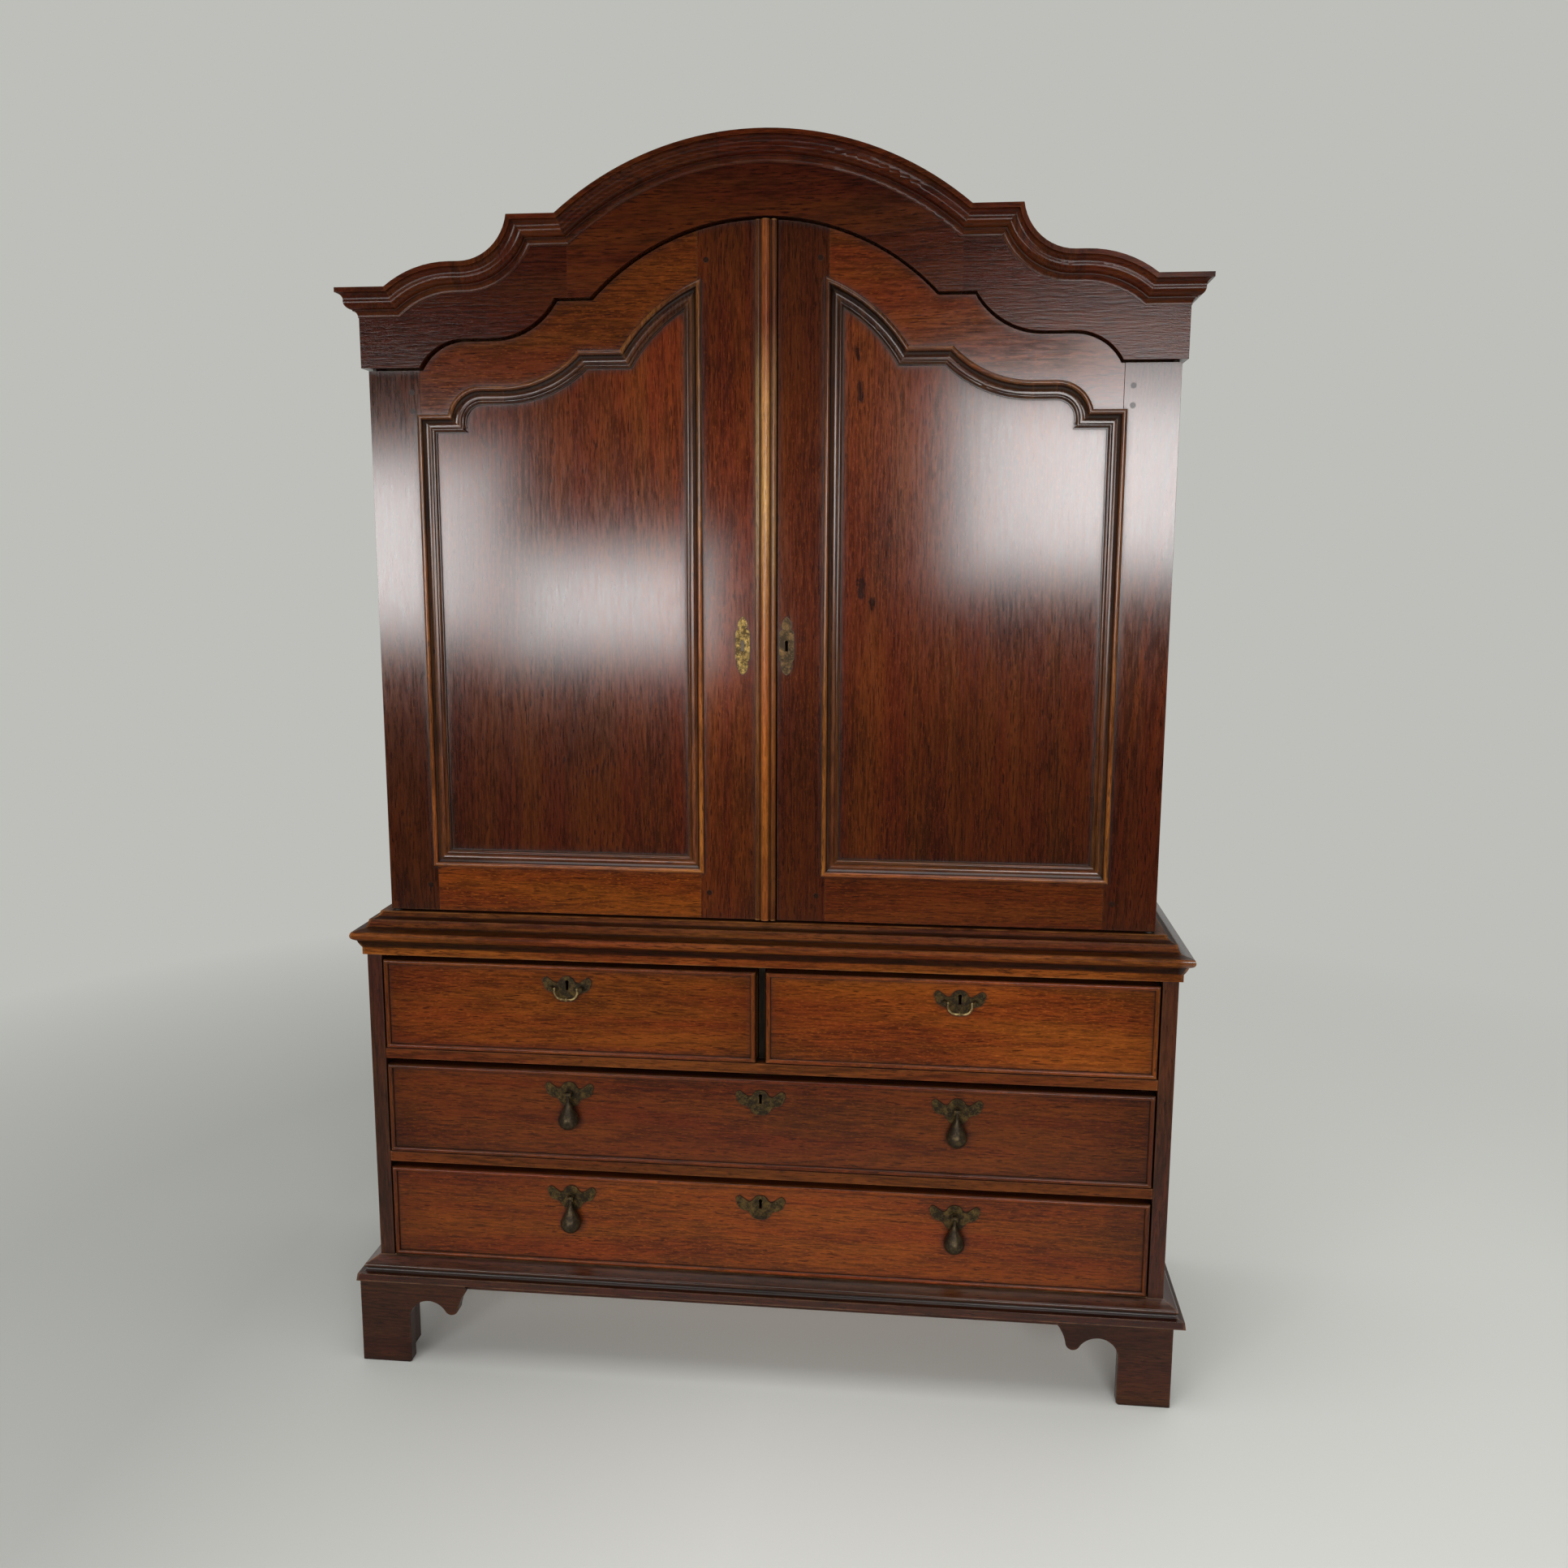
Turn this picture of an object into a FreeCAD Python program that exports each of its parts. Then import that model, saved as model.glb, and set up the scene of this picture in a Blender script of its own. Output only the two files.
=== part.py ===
import FreeCAD, Part
import math
import os

os.makedirs("parts", exist_ok=True)
V = FreeCAD.Vector

# Two-part oak linen press: a chest of drawers under a cupboard with two arched doors.
# Millimetres. X to the right, Y to the back, Z up, floor at zero.

# Main sizes of the two cases
chest_half = 740
chest_side = 28
case_depth = 560
back_thickness = 16
chest_back_boards = 6
cupboard_back_boards = 7
board_thickness = 24
cupboard_inset = 41
cupboard_side = 24
overrun = 5
hair = 0.5

# Base moulding and feet
base_height = 40
base_projection = 36
base_bead_projection = 22
base_bead_top = 10
base_bead_size = 9
base_cove_projection = 29
base_cove_share = 0.3
base_nose_height = 14
base_nose_set = 2
left_foot_proud = 31
right_foot_proud = 18
bracket_thickness = 24
foot_height = 166
foot_width = 97
foot_wear = 4
foot_block = 60
foot_block_gap = 6
rear_bracket_run = 150
# Scroll of the bracket: middle and end of each curve, as shares of the foot's width and height
foot_straight_share = 0.59
foot_scroll_shares = ((1.144, 0.729, 1.371, 0.777), (1.588, 0.741, 1.732, 0.651),
                      (1.856, 0.62, 1.979, 0.681), (2.021, 0.783, 2.144, 0.91))

# Waist moulding between the cases: out from the chest face and up from the chest, as shares of
# its nose and its height
waist_height = 76.5
waist_nose = 23
waist_fillet_share = 0.261
waist_shares = ((0.261, 0.17), (0.391, 0.235, 0.565, 0.353), (0.826, 0.399), (1, 0.51, 0.87, 0.588),
                (0.044, 0.641), (-0.087, 0.693), (-0.217, 0.837), (-0.609, 0.869, -0.913, 0.954),
                (-0.913, 1))

# Doors
door_setback = 27
door_thickness = 26
door_back_gap = 1
door_foot_gap = 4
door_shoulder = 974.5
head_gap = 3
left_meeting_x = 24
meeting_gap = 2
hinge_stile = 92.5
panel_lap = 6.5
panel_inner_x = 106
bottom_rail = 83.5
top_rail = 78
panel_recess = 10
panel_thickness = 12

# Serpentine outlines, as shares of the frieze's half width: crest centre, crest rise, crest radius,
# dip centre, dip radius, step rise, arch rise, arch radius
cornice_shares = (0.7539, 0.0552, 0.2702, 0.7298, 0.1216, 0.1598, 0.3352, 0.7779)
frieze_shares = (0.7369, 0.0679, 0.1308, 0.6662, 0.1832, 0.1598, 0.338, 0.582)
panel_shares = (0.7016, 0.0679, 0.0891, 0.6464, 0.2631, 0.1499, 0.3388, 0.4201)

# Frieze, head rail, roof and cornice
frieze_overhang = 8
frieze_height = 131
frieze_setback = 13
frieze_seam_share = 0.4738
head_rail_thickness = 24
head_rail_lap = 22
roof_drop = 8
roof_thickness = 18
planks_per_curve = 3
planks_per_arch = 8
cornice_height = 46
cornice_projection = 30
cornice_fillet = 8
cornice_cove_start = 28
cornice_cove_mid = (13, 21.2)
cornice_cove_end = (21, 19.5)
cornice_ovolo_mid = (29.8, 16.3)
cornice_ovolo_end = (34, 8)
cornice_step = (36, 5)
cornice_foot_mid = (39.8, 2.2)
cornice_foot = 1

# Panel moulding section: width over the panel, height off the door face
mould_width = 31
mould_edge = 2.5
mould_bead_mid = (4.5, 7)
mould_bead_end = (9, 2.5)
mould_cove_mid = (13.5, -2.2)
mould_cove_end = (20, -4)
mould_fillet = 22
mould_inner_mid = (26, -2.6)
mould_inner_end = (29.5, -6.5)

# Astragal on the left door, from its free edge inwards
astragal_width = 37
astragal_edge = 3.5
astragal_round_mid = (5, 7.5)
astragal_groove = (10, 2)
astragal_bead_start = 11
astragal_bead_mid = (19, 10)
astragal_bead_end = 27
astragal_fillet_start = 28
astragal_fillet_mid = (32.5, 5.5)

# Door pivots
pivot_inset = 9
pivot_pin = 4
pivot_bush = 7
pivot_collar = 9
pivot_collar_height = 3
pivot_hold = 20
pivot_bush_length = 14.5
running_fit = 0.05

# Slide bolts, lock and keeper on the backs of the doors
bolt_x = 60
bolt_width = 14
bolt_thickness = 5
bolt_length = 160
bolt_throw = 18
bolt_rest_gap = 6
bolt_plate_width = 40
bolt_plate_length = 150
bolt_plate_thickness = 2
bolt_plate_offset = 14
bolt_fit = 0.1
bolt_knob = 5
bolt_knob_length = 9
staple_height = 10
staple_wall = 4
staple_shares = (0.18, 0.82)
mortise_gap = 2
door_lock_width = 62
door_lock_height = 72
door_lock_depth = 14
door_lock_inset = 2
door_lock_rise = 42
door_lock_bolt = (34, 6, 18)
door_lock_bolt_drop = 8
door_lock_bolt_set = 4
keeper_width = 16
keeper_inset = 2
keeper_wall = 4

# Brass on the doors
door_brass_rise = 496.5
left_brass_x = 35.5
right_brass_x = 42.5
brass_thickness = 2
door_brass = ((0, 51), (5, 46, 8, 39), (8.5, 34, 6.5, 29), (10, 27, 13, 20), (13, -22),
              (11, -26, 8.5, -27), (10, -33, 8.5, -40), (6, -46.5, 0, -51))
keyhole_round = 3.5
keyhole_half = 2.6
keyhole_length = 19
key_well_share = 0.6

# Shelves
lower_shelf_rise = 327.5
middle_shelf_rise = 617.5
upper_shelf_rise = 897.5
shelf_thickness = 18
shelf_front = 90
bearer_height = 30
bearer_width = 20

# Drawer rows from the top down, and the rail below each
top_front_height = 172
middle_front_height = 173.5
lowest_front_height = 178.5
rail_thickness = 20
rail_depth = 70
rail_gap = 1.5
drawer_head_gap = 10.5
drawer_side_gap = 3
drawer_middle_gap = 19
muntin_width = 13
muntin_setback = 25
runner_width = 40
guide_height = 40
guide_width = 12
drawer_recess = 1
front_thickness = 22
bead_width = 9
bead_edge = 1.5
bead_height = 5
drawer_back_gap = 61
drawer_side = 14
drawer_floor = 9
drawer_floor_rise = 10
drawer_side_drop = 18
drawer_run_fit = 0.5

# Drawer brasses
plate_drop = 44
winged_plate = ((0, 23), (8, 21, 14, 14), (19, 10, 25, 11.5), (38, 21), (45, 17, 44, 8),
                (40, -2, 31, -7), (24, -9, 19, -14), (12, -22, 0, -24))
keyhole_drop = 28
pull_drop = 42
pull_stand = 10
post_radius = 4
post_spread = 27.5
post_reach = 4
bail_pin = 1.8
bail_pin_end = 28
bail_half = 21.5
bail_rod = 2
bail_bend = 15
bail_fall = 20
bail_elbow = 2.6
bail_knob = 3.4
fork_boss = 6
fork_boss_height = 3
fork_gap_half = 3.3
fork_cheek = 2.5
fork_half_height = 4
drop_eye = 3.8
drop_eye_half = 3
drop_pin = 1.5
drop_back = 4.5
drop_shape = ((0, -2.5), (2.6, -2.5), (3.2, -14), (17.6, -42), (19, -52, 13.5, -62), (7.5, -66.5, 0, -68))
lock_width = 64
lock_depth = 12
lock_height = 52
lock_bolt = (24, 6, 24)
lock_bolt_set = 3
lock_mortise_depth = 12

# Planes that follow from the sizes above
case_front = (base_projection - case_depth) / 2
case_back = case_front + case_depth
back_face = case_back - back_thickness
door_front = case_front + door_setback
door_back = door_front + door_thickness
cupboard_front = door_back + door_back_gap
frieze_front = case_front + frieze_setback
cupboard_half = chest_half - cupboard_inset
frieze_half = cupboard_half + frieze_overhang
frieze_seam_x = frieze_half * frieze_seam_share
field_front = case_front + drawer_recess
field_back = field_front + front_thickness
pivot_x = cupboard_half - pivot_inset
pivot_y = door_front + pivot_inset
right_meeting_x = left_meeting_x + meeting_gap
opening_half = chest_half - chest_side
inner_half = cupboard_half - cupboard_side
roof_under = roof_drop + roof_thickness
hinge_joint_x = cupboard_half - hinge_stile
panel_outer_x = hinge_joint_x + panel_lap
drawer_half = opening_half - drawer_side_gap
drawer_middle = drawer_middle_gap / 2
pull_x = (drawer_half + drawer_middle) / 2

# Levels from the floor up
chest_foot_z = foot_height
chest_floor_z = chest_foot_z + base_height
row_bottoms = []
row_tops = []
level = chest_floor_z
for front_height in (lowest_front_height, middle_front_height, top_front_height):
    row_bottoms.insert(0, level + rail_gap)
    row_tops.insert(0, level + rail_gap + front_height)
    level = row_tops[0] + drawer_head_gap + rail_thickness
rail_tops = [bottom - rail_gap for bottom in row_bottoms]
chest_ceiling_z = row_tops[0] + drawer_head_gap
chest_top_z = chest_ceiling_z + board_thickness
waist_top_z = chest_ceiling_z + waist_height
door_bottom_z = waist_top_z + door_foot_gap
panel_bottom_z = door_bottom_z + bottom_rail
door_brass_z = door_bottom_z + door_brass_rise
frieze_flat_z = door_bottom_z + door_shoulder


def serpentine_line(flat, shares):
    """Sizes of a serpentine outline: flat level, crest, dip, step and arch."""
    sizes = [share * frieze_half for share in shares]
    crest_x, crest, crest_r, dip_x, dip_r, step, top, arch_r = sizes
    return flat, crest_x, flat + crest, crest_r, dip_x, dip_r, flat + step, flat + top, arch_r


cornice_line = serpentine_line(frieze_flat_z + frieze_height, cornice_shares)
frieze_line = serpentine_line(frieze_flat_z, frieze_shares)
panel_line = serpentine_line(frieze_flat_z - top_rail, panel_shares)


def steps(shares, reach, rise, foot_z):
    """Points of an outline from shares of its reach and of its rise above foot_z."""
    return [tuple(value * reach if index % 2 == 0 else foot_z + value * rise
                  for index, value in enumerate(step)) for step in shares]


def box(x0, x1, y0, y1, z0, z1):
    return Part.makeBox(x1 - x0, y1 - y0, z1 - z0, V(x0, y0, z0))


def rod(radius, start, end):
    return Part.makeCylinder(radius, (end - start).Length, start, end - start)


def mirrored(shape):
    return shape.mirror(V(0, 0, 0), V(1, 0, 0))


def pair(shape):
    return [shape, mirrored(shape)]


def save(name, solids):
    Part.makeCompound(solids).exportStep("parts/%s.step" % name)


def outline_face(outline, at):
    """A face from points (a, b) and arcs (mid a, mid b, end a, end b), set in space by at(a, b)."""
    edges = []
    here = outline[0]
    for step in list(outline[1:]) + [outline[0]]:
        there = step[-2:]
        if len(step) > len(there):
            edges.append(Part.Arc(at(*here), at(*step[:2]), at(*there)).toShape())
        elif math.dist(here, there) > 0:
            edges.append(Part.makeLine(at(*here), at(*there)))
        here = there
    return Part.Face(Part.Wire(edges))


def both_halves(outline):
    """Closes a right-hand half outline, top to bottom, with its mirror image."""
    points = [step[-2:] for step in outline]
    back = []
    for index in range(len(outline) - 1, 0, -1):
        end = (-points[index - 1][0], points[index - 1][1])
        if len(outline[index]) > len(end):
            end = (-outline[index][0], outline[index][1]) + end
        back.append(end)
    return list(outline) + back


class Straight:
    """A straight stretch of a moulding's path, seen from the front, with the wood on its left."""

    def __init__(self, start, end):
        self.start, self.end = start, end
        self.length = math.dist(start, end)
        self.leave = ((end[0] - start[0]) / self.length, (end[1] - start[1]) / self.length)
        self.arrive = self.leave

    def edge(self, y):
        return Part.makeLine(V(self.start[0], y, self.start[1]), V(self.end[0], y, self.end[1]))

    def points(self, count):
        return [self.start]

    def sweep(self, section, face_y, before, after):
        tx, tz = self.leave
        x0, z0 = self.start[0] - tx * before, self.start[1] - tz * before
        face = outline_face(section, lambda u, h: V(x0 - tz * u, face_y - h, z0 + tx * u))
        run = self.length + before + after
        return face.extrude(V(tx * run, 0, tz * run))


class Round:
    """A round stretch of a moulding's path about a centre."""

    def __init__(self, start, end, centre):
        self.start, self.end, self.centre = start, end, centre
        self.radius = math.dist(start, centre)
        self.angle = math.atan2(start[1] - centre[1], start[0] - centre[0])
        last = math.atan2(end[1] - centre[1], end[0] - centre[0])
        self.turn = math.remainder(last - self.angle, math.tau)
        self.way = math.copysign(1, self.turn)
        self.leave = (-math.sin(self.angle) * self.way, math.cos(self.angle) * self.way)
        self.arrive = (-math.sin(last) * self.way, math.cos(last) * self.way)

    def point(self, share):
        angle = self.angle + self.turn * share
        return (self.centre[0] + self.radius * math.cos(angle),
                self.centre[1] + self.radius * math.sin(angle))

    def edge(self, y):
        mid = self.point(1 / 2)
        ends = [V(p[0], y, p[1]) for p in (self.start, mid, self.end)]
        return Part.Arc(*ends).toShape()

    def points(self, count):
        return [self.point(index / count) for index in range(count)]

    def sweep(self, section, face_y, before, after):
        tx, tz = self.leave
        x0, z0 = self.start
        face = outline_face(section, lambda u, h: V(x0 - tz * u, face_y - h, z0 + tx * u))
        centre = V(self.centre[0], 0, self.centre[1])
        axis = V(0, -self.way, 0)
        face.rotate(centre, axis, -math.degrees(before / self.radius))
        return face.revolve(centre, axis, math.degrees(abs(self.turn) + (before + after) / self.radius))


def crossing(first, second, inset):
    """Where two neighbouring stretches meet once both are set in by the same distance."""
    straight, other = (first, second) if isinstance(first, Straight) else (second, first)
    tx, tz = straight.leave
    px, pz = straight.start[0] - tz * inset, straight.start[1] + tx * inset
    if isinstance(other, Straight):
        sx, sz = other.leave
        qx, qz = other.start[0] - sz * inset, other.start[1] + sx * inset
        along = ((qx - px) * sz - (qz - pz) * sx) / (tx * sz - tz * sx)
        return (px + tx * along, pz + tz * along)
    cx, cz = other.centre
    radius = other.radius - other.way * inset
    middle = (cx - px) * tx + (cz - pz) * tz
    away = (cx - px) * tz - (cz - pz) * tx
    half = math.sqrt(radius * radius - away * away)
    ends = [(px + tx * a, pz + tz * a) for a in (middle - half, middle + half)]
    return min(ends, key=lambda p: math.dist(p, first.end))


def mitre_line(first, second, width):
    """The line in the front view along which two stretches of one moulding meet."""
    count = 6
    line = [crossing(first, second, width * index / count) for index in range(count + 1)]
    for near, far, place in ((line[0], line[1], 0), (line[-1], line[-2], len(line))):
        shift = width / math.dist(near, far)
        end = (near[0] + (near[0] - far[0]) * shift, near[1] + (near[1] - far[1]) * shift)
        line.insert(place if place == 0 else len(line), end)
    return line


def off_cut(line, way, reach, y0, y1):
    """The waste beyond a mitre line."""
    moved = [(x + way[0] * reach, z + way[1] * reach) for x, z in reversed(line)]
    face = outline_face(line + moved, lambda x, z: V(x, y0, z))
    return face.extrude(V(0, y1 - y0, 0))


def moulding(path, section, face_y, width, closed):
    """One piece of moulding for each stretch of the path, mitred where the path turns."""
    heights = [step[-1] for step in section]
    y0 = face_y - max(heights) - width
    y1 = face_y - min(heights) + width
    pieces = []
    for index, stretch in enumerate(path):
        last = path[index - 1] if closed or index > 0 else None
        following = path[(index + 1) % len(path)] if closed or index + 1 < len(path) else None
        starts = last and math.dist(last.arrive, stretch.leave) > hair / width
        ends = following and math.dist(stretch.arrive, following.leave) > hair / width
        piece = stretch.sweep(section, face_y, width if starts else 0, width if ends else 0)
        reach = 3 * width
        if starts:
            back = (-stretch.leave[0], -stretch.leave[1])
            piece = piece.cut(off_cut(mitre_line(last, stretch, width), back, reach, y0, y1))
        if ends:
            piece = piece.cut(off_cut(mitre_line(stretch, following, width), stretch.arrive, reach, y0, y1))
        pieces.extend(piece.Solids)
    return pieces


def serpentine(line, x_from, x_to, inset):
    """The stretches of a serpentine outline, set in, from the right-hand flat to a point on the arch."""
    flat, crest_x, crest, crest_r, dip_x, dip_r, step, top, arch_r = line
    flat, crest, step, top = flat - inset, crest - inset, step - inset, top - inset
    crest_r, dip_r, arch_r = crest_r - inset, dip_r + inset, arch_r - inset
    crest_c, dip_c, arch_c = (crest_x, crest - crest_r), (dip_x, crest + dip_r), (0, top - arch_r)
    corner = (crest_x + math.sqrt(crest_r ** 2 - (flat - crest_c[1]) ** 2), flat)
    step_out = (dip_x - math.sqrt(dip_r ** 2 - (step - dip_c[1]) ** 2), step)
    step_in = (math.sqrt(arch_r ** 2 - (step - arch_c[1]) ** 2), step)
    finish = (x_to, arch_c[1] + math.sqrt(arch_r ** 2 - x_to ** 2))
    stretches = [
        Straight((x_from, flat), corner),
        Round(corner, (crest_x, crest), crest_c),
        Straight((crest_x, crest), (dip_x, crest)),
        Round((dip_x, crest), step_out, dip_c),
        Straight(step_out, step_in),
        Round(step_in, finish, arch_c),
    ]
    return stretches


def turned(stretch):
    """A stretch mirrored to the left-hand side, run the same way round."""
    start, end = (-stretch.end[0], stretch.end[1]), (-stretch.start[0], stretch.start[1])
    if isinstance(stretch, Straight):
        return Straight(start, end)
    return Round(start, end, (-stretch.centre[0], stretch.centre[1]))


def whole_serpentine(line, half, inset):
    right = serpentine(line, half, 0, inset)
    arch = Round(right[-1].start, (-right[-1].start[0], right[-1].start[1]), right[-1].centre)
    return right[:-1] + [arch] + [turned(stretch) for stretch in reversed(right[:-1])]


def under_line(path, bottom_z, y0, y1):
    """A board whose top follows a path and whose bottom is level."""
    first, last = path[0].start, path[-1].end
    edges = [stretch.edge(y0) for stretch in path]
    low = [V(last[0], y0, last[1]), V(last[0], y0, bottom_z),
           V(first[0], y0, bottom_z), V(first[0], y0, first[1])]
    edges += [Part.makeLine(low[index], low[index + 1]) for index in range(len(low) - 1)]
    return Part.Face(Part.Wire(edges)).extrude(V(0, y1 - y0, 0))


def roof_points(half, inset):
    points = []
    for stretch in whole_serpentine(cornice_line, half, inset):
        points += stretch.points(planks_per_curve if stretch.centre[0] else planks_per_arch) \
            if isinstance(stretch, Round) else stretch.points(1)
    return points + [(-half, cornice_line[0] - inset)]


def roofed(half, bottom_z, y0, y1):
    """A board that fits under the roof planks."""
    points = roof_points(half, roof_under) + [(-half, bottom_z), (half, bottom_z)]
    return outline_face(points, lambda x, z: V(x, y0, z)).extrude(V(0, y1 - y0, 0))


def corner_waste(half, front, reach, outer):
    """The waste on one side of the plan mitre at the right-hand front corner."""
    a, b = (half - reach, front + reach), (half + reach, front - reach)
    c = (half + reach, front + reach) if outer else (half - reach, front - reach)
    return outline_face((a, b, c), lambda x, y: V(x, y, 0)).extrude(V(0, 0, cornice_line[-2]))


def mitred_front(section, half, front, reach):
    """A level moulding across the front, mitred at both ends; section is (out, z)."""
    width = half + reach
    piece = outline_face(section, lambda p, z: V(-width, front - p, z)).extrude(V(2 * width, 0, 0))
    waste = corner_waste(half, front, reach, True)
    return piece.cut(waste).cut(mirrored(waste))


def mitred_side(section, half, front, back, reach):
    """The same moulding along the right-hand side."""
    start = front - reach
    piece = outline_face(section, lambda p, z: V(half + p, start, z)).extrude(V(0, back - start, 0))
    return piece.cut(corner_waste(half, front, reach, False))


def boards(blank, half, count, gap):
    """Cuts a broad blank into upright boards of equal width."""
    pitch = 2 * half / count
    bounds = blank.BoundBox
    pieces = []
    for index in range(count):
        x0 = -half + pitch * index
        cutter = box(x0 + gap / 2, x0 + pitch - gap / 2, bounds.YMin, bounds.YMax, bounds.ZMin, bounds.ZMax)
        pieces.extend(blank.common(cutter).Solids)
    return pieces


def keyhole(x, top_z, y0, y1):
    """A cutter for a keyhole, round above and straight below."""
    eye = rod(keyhole_round, V(x, y0, top_z - keyhole_round), V(x, y1, top_z - keyhole_round))
    slot = box(x - keyhole_half, x + keyhole_half, y0, y1, top_z - keyhole_length, top_z - keyhole_round)
    return eye.fuse(slot)


# Lower chest: sides, backs, top and bottom
chest_side_board = box(opening_half, chest_half, case_front, back_face, chest_foot_z, chest_ceiling_z)
save("lower_sides", pair(chest_side_board))
chest_back = box(-chest_half, chest_half, back_face, case_back, chest_foot_z, chest_top_z)
save("lower_back_boards", boards(chest_back, chest_half, chest_back_boards, hair))
chest_top = box(-chest_half, chest_half, case_front, back_face, chest_ceiling_z, chest_top_z)
chest_floor = box(-opening_half, opening_half, case_front, back_face,
                  chest_floor_z - board_thickness, chest_floor_z)

# Rails, muntin, runners; mortises above the drawers take the lock bolts
bolt_room = lock_bolt[0] / 2 + mortise_gap
bolt_front = field_back + lock_bolt_set - mortise_gap
bolt_rear = field_back + lock_bolt_set + lock_bolt[1] + mortise_gap


def bolt_mortise(x, z):
    return box(x - bolt_room, x + bolt_room, bolt_front, bolt_rear, z - overrun, z + lock_mortise_depth)


for x in (-pull_x, pull_x):
    chest_top = chest_top.cut(bolt_mortise(x, chest_ceiling_z))
save("lower_case_boards", [chest_top, chest_floor])
rails = []
runners = []
for top in rail_tops[:2]:
    rail = box(-opening_half, opening_half, case_front, case_front + rail_depth, top - rail_thickness, top)
    rails.append(rail.cut(bolt_mortise(0, top - rail_thickness)))
    runner = box(opening_half - runner_width, opening_half, case_front + rail_depth, back_face,
                 top - rail_thickness, top)
    runners += pair(runner)
muntin = box(-muntin_width / 2, muntin_width / 2, case_front + muntin_setback, case_front + rail_depth,
             rail_tops[0], chest_ceiling_z)
save("drawer_rails", rails + [muntin])
runners.append(box(-runner_width, runner_width, case_front + rail_depth, back_face,
                   rail_tops[0] - rail_thickness, rail_tops[0]))
runners.append(box(-guide_width / 2, guide_width / 2, case_front + rail_depth, back_face,
                   rail_tops[0], rail_tops[0] + guide_height))
save("drawer_runners", runners)

# Waist moulding: sits on the chest and frames the foot of the cupboard
waist_steps = steps(waist_shares, waist_nose, waist_height, chest_ceiling_z)
waist_section = (
    (0, chest_ceiling_z - hair), (waist_nose * waist_fillet_share, chest_ceiling_z - hair), *waist_steps,
    (-cupboard_inset, waist_top_z), (-cupboard_inset, chest_top_z), (0, chest_top_z))
waist_reach = cupboard_inset + waist_nose
waist_front = mitred_front(waist_section, chest_half, case_front, waist_reach)
pivot_hole = rod(pivot_pin, V(pivot_x, pivot_y, waist_top_z - pivot_hold),
                 V(pivot_x, pivot_y, waist_top_z + overrun))
waist_front = waist_front.cut(pivot_hole).cut(mirrored(pivot_hole))
waist_side = mitred_side(waist_section, chest_half, case_front, case_back, waist_reach)
save("waist_moulding", [waist_front] + pair(waist_side))

# Base moulding: bead, hollow and a square nose under the lowest drawer
nose_top = chest_foot_z + base_nose_height
bead_z = chest_floor_z - base_bead_top
cove_z = nose_top + (bead_z - base_bead_size - nose_top) * base_cove_share
base_section = (
    (0, chest_foot_z), (base_projection, chest_foot_z), (base_projection - base_nose_set, nose_top),
    (base_cove_projection, nose_top), (base_bead_projection, cove_z, base_bead_projection - base_nose_set,
    bead_z - base_bead_size), (base_bead_projection + base_nose_set, bead_z - base_bead_size / 2,
    base_bead_projection - base_nose_set, bead_z), (0, chest_floor_z))
base_front = mitred_front(base_section, chest_half, case_front, base_projection)
base_side = mitred_side(base_section, chest_half, case_front, case_back, base_projection)
save("base_moulding", [base_front] + pair(base_side))

# Bracket feet: a shaped bracket on the front and on each side, a plain one behind, blocks inside
foot_straight = foot_height * foot_straight_share
foot_scroll = steps(foot_scroll_shares, foot_width, foot_height, 0)
foot_end, strip_z = foot_scroll[-1][2:]
bracket = ((0, 0), (foot_width - foot_wear, 0), (foot_width, foot_wear), (foot_width, foot_straight),
           *foot_scroll, (foot_end, chest_foot_z), (0, chest_foot_z))
plain_bracket = ((bracket_thickness, 0), (foot_width, 0), (foot_width, foot_straight),
                 (rear_bracket_run, chest_foot_z), (bracket_thickness, chest_foot_z))
feet = []
for proud, flip in ((right_foot_proud, False), (left_foot_proud, True)):
    out_x = chest_half + proud
    front_y = case_front - proud
    inside = out_x - bracket_thickness
    front_part = outline_face(bracket, lambda s, z: V(out_x - s, front_y, z))
    front_part = front_part.extrude(V(0, bracket_thickness, 0))
    side_part = outline_face(bracket, lambda s, z: V(inside, front_y + s, z))
    side_part = side_part.extrude(V(bracket_thickness, 0, 0))
    side_part = side_part.cut(box(inside - overrun, out_x + overrun, front_y - overrun,
                                  front_y + bracket_thickness, -overrun, chest_foot_z + overrun))
    rear_side = outline_face(bracket, lambda s, z: V(inside, case_back - s, z))
    rear_side = rear_side.extrude(V(bracket_thickness, 0, 0))
    rear_part = outline_face(plain_bracket, lambda s, z: V(out_x - s, case_back, z)).extrude(
        V(0, -bracket_thickness, 0))
    strip = box(inside, out_x, front_y + foot_end, case_back - foot_end, strip_z, chest_foot_z)
    front_block = box(inside - foot_block, inside, front_y + bracket_thickness,
                      front_y + bracket_thickness + foot_block, foot_block_gap, chest_foot_z)
    rear_block = box(inside - foot_block, inside, case_back - bracket_thickness - foot_block,
                     case_back - bracket_thickness, foot_block_gap, chest_foot_z)
    for solid in (front_part, side_part, rear_side, rear_part, strip, front_block, rear_block):
        feet.append(mirrored(solid) if flip else solid)
feet.append(box(-chest_half - left_foot_proud + foot_end, chest_half + right_foot_proud - foot_end,
                case_front - right_foot_proud, case_front - right_foot_proud + bracket_thickness,
                strip_z, chest_foot_z))
save("bracket_feet", feet)

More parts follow.
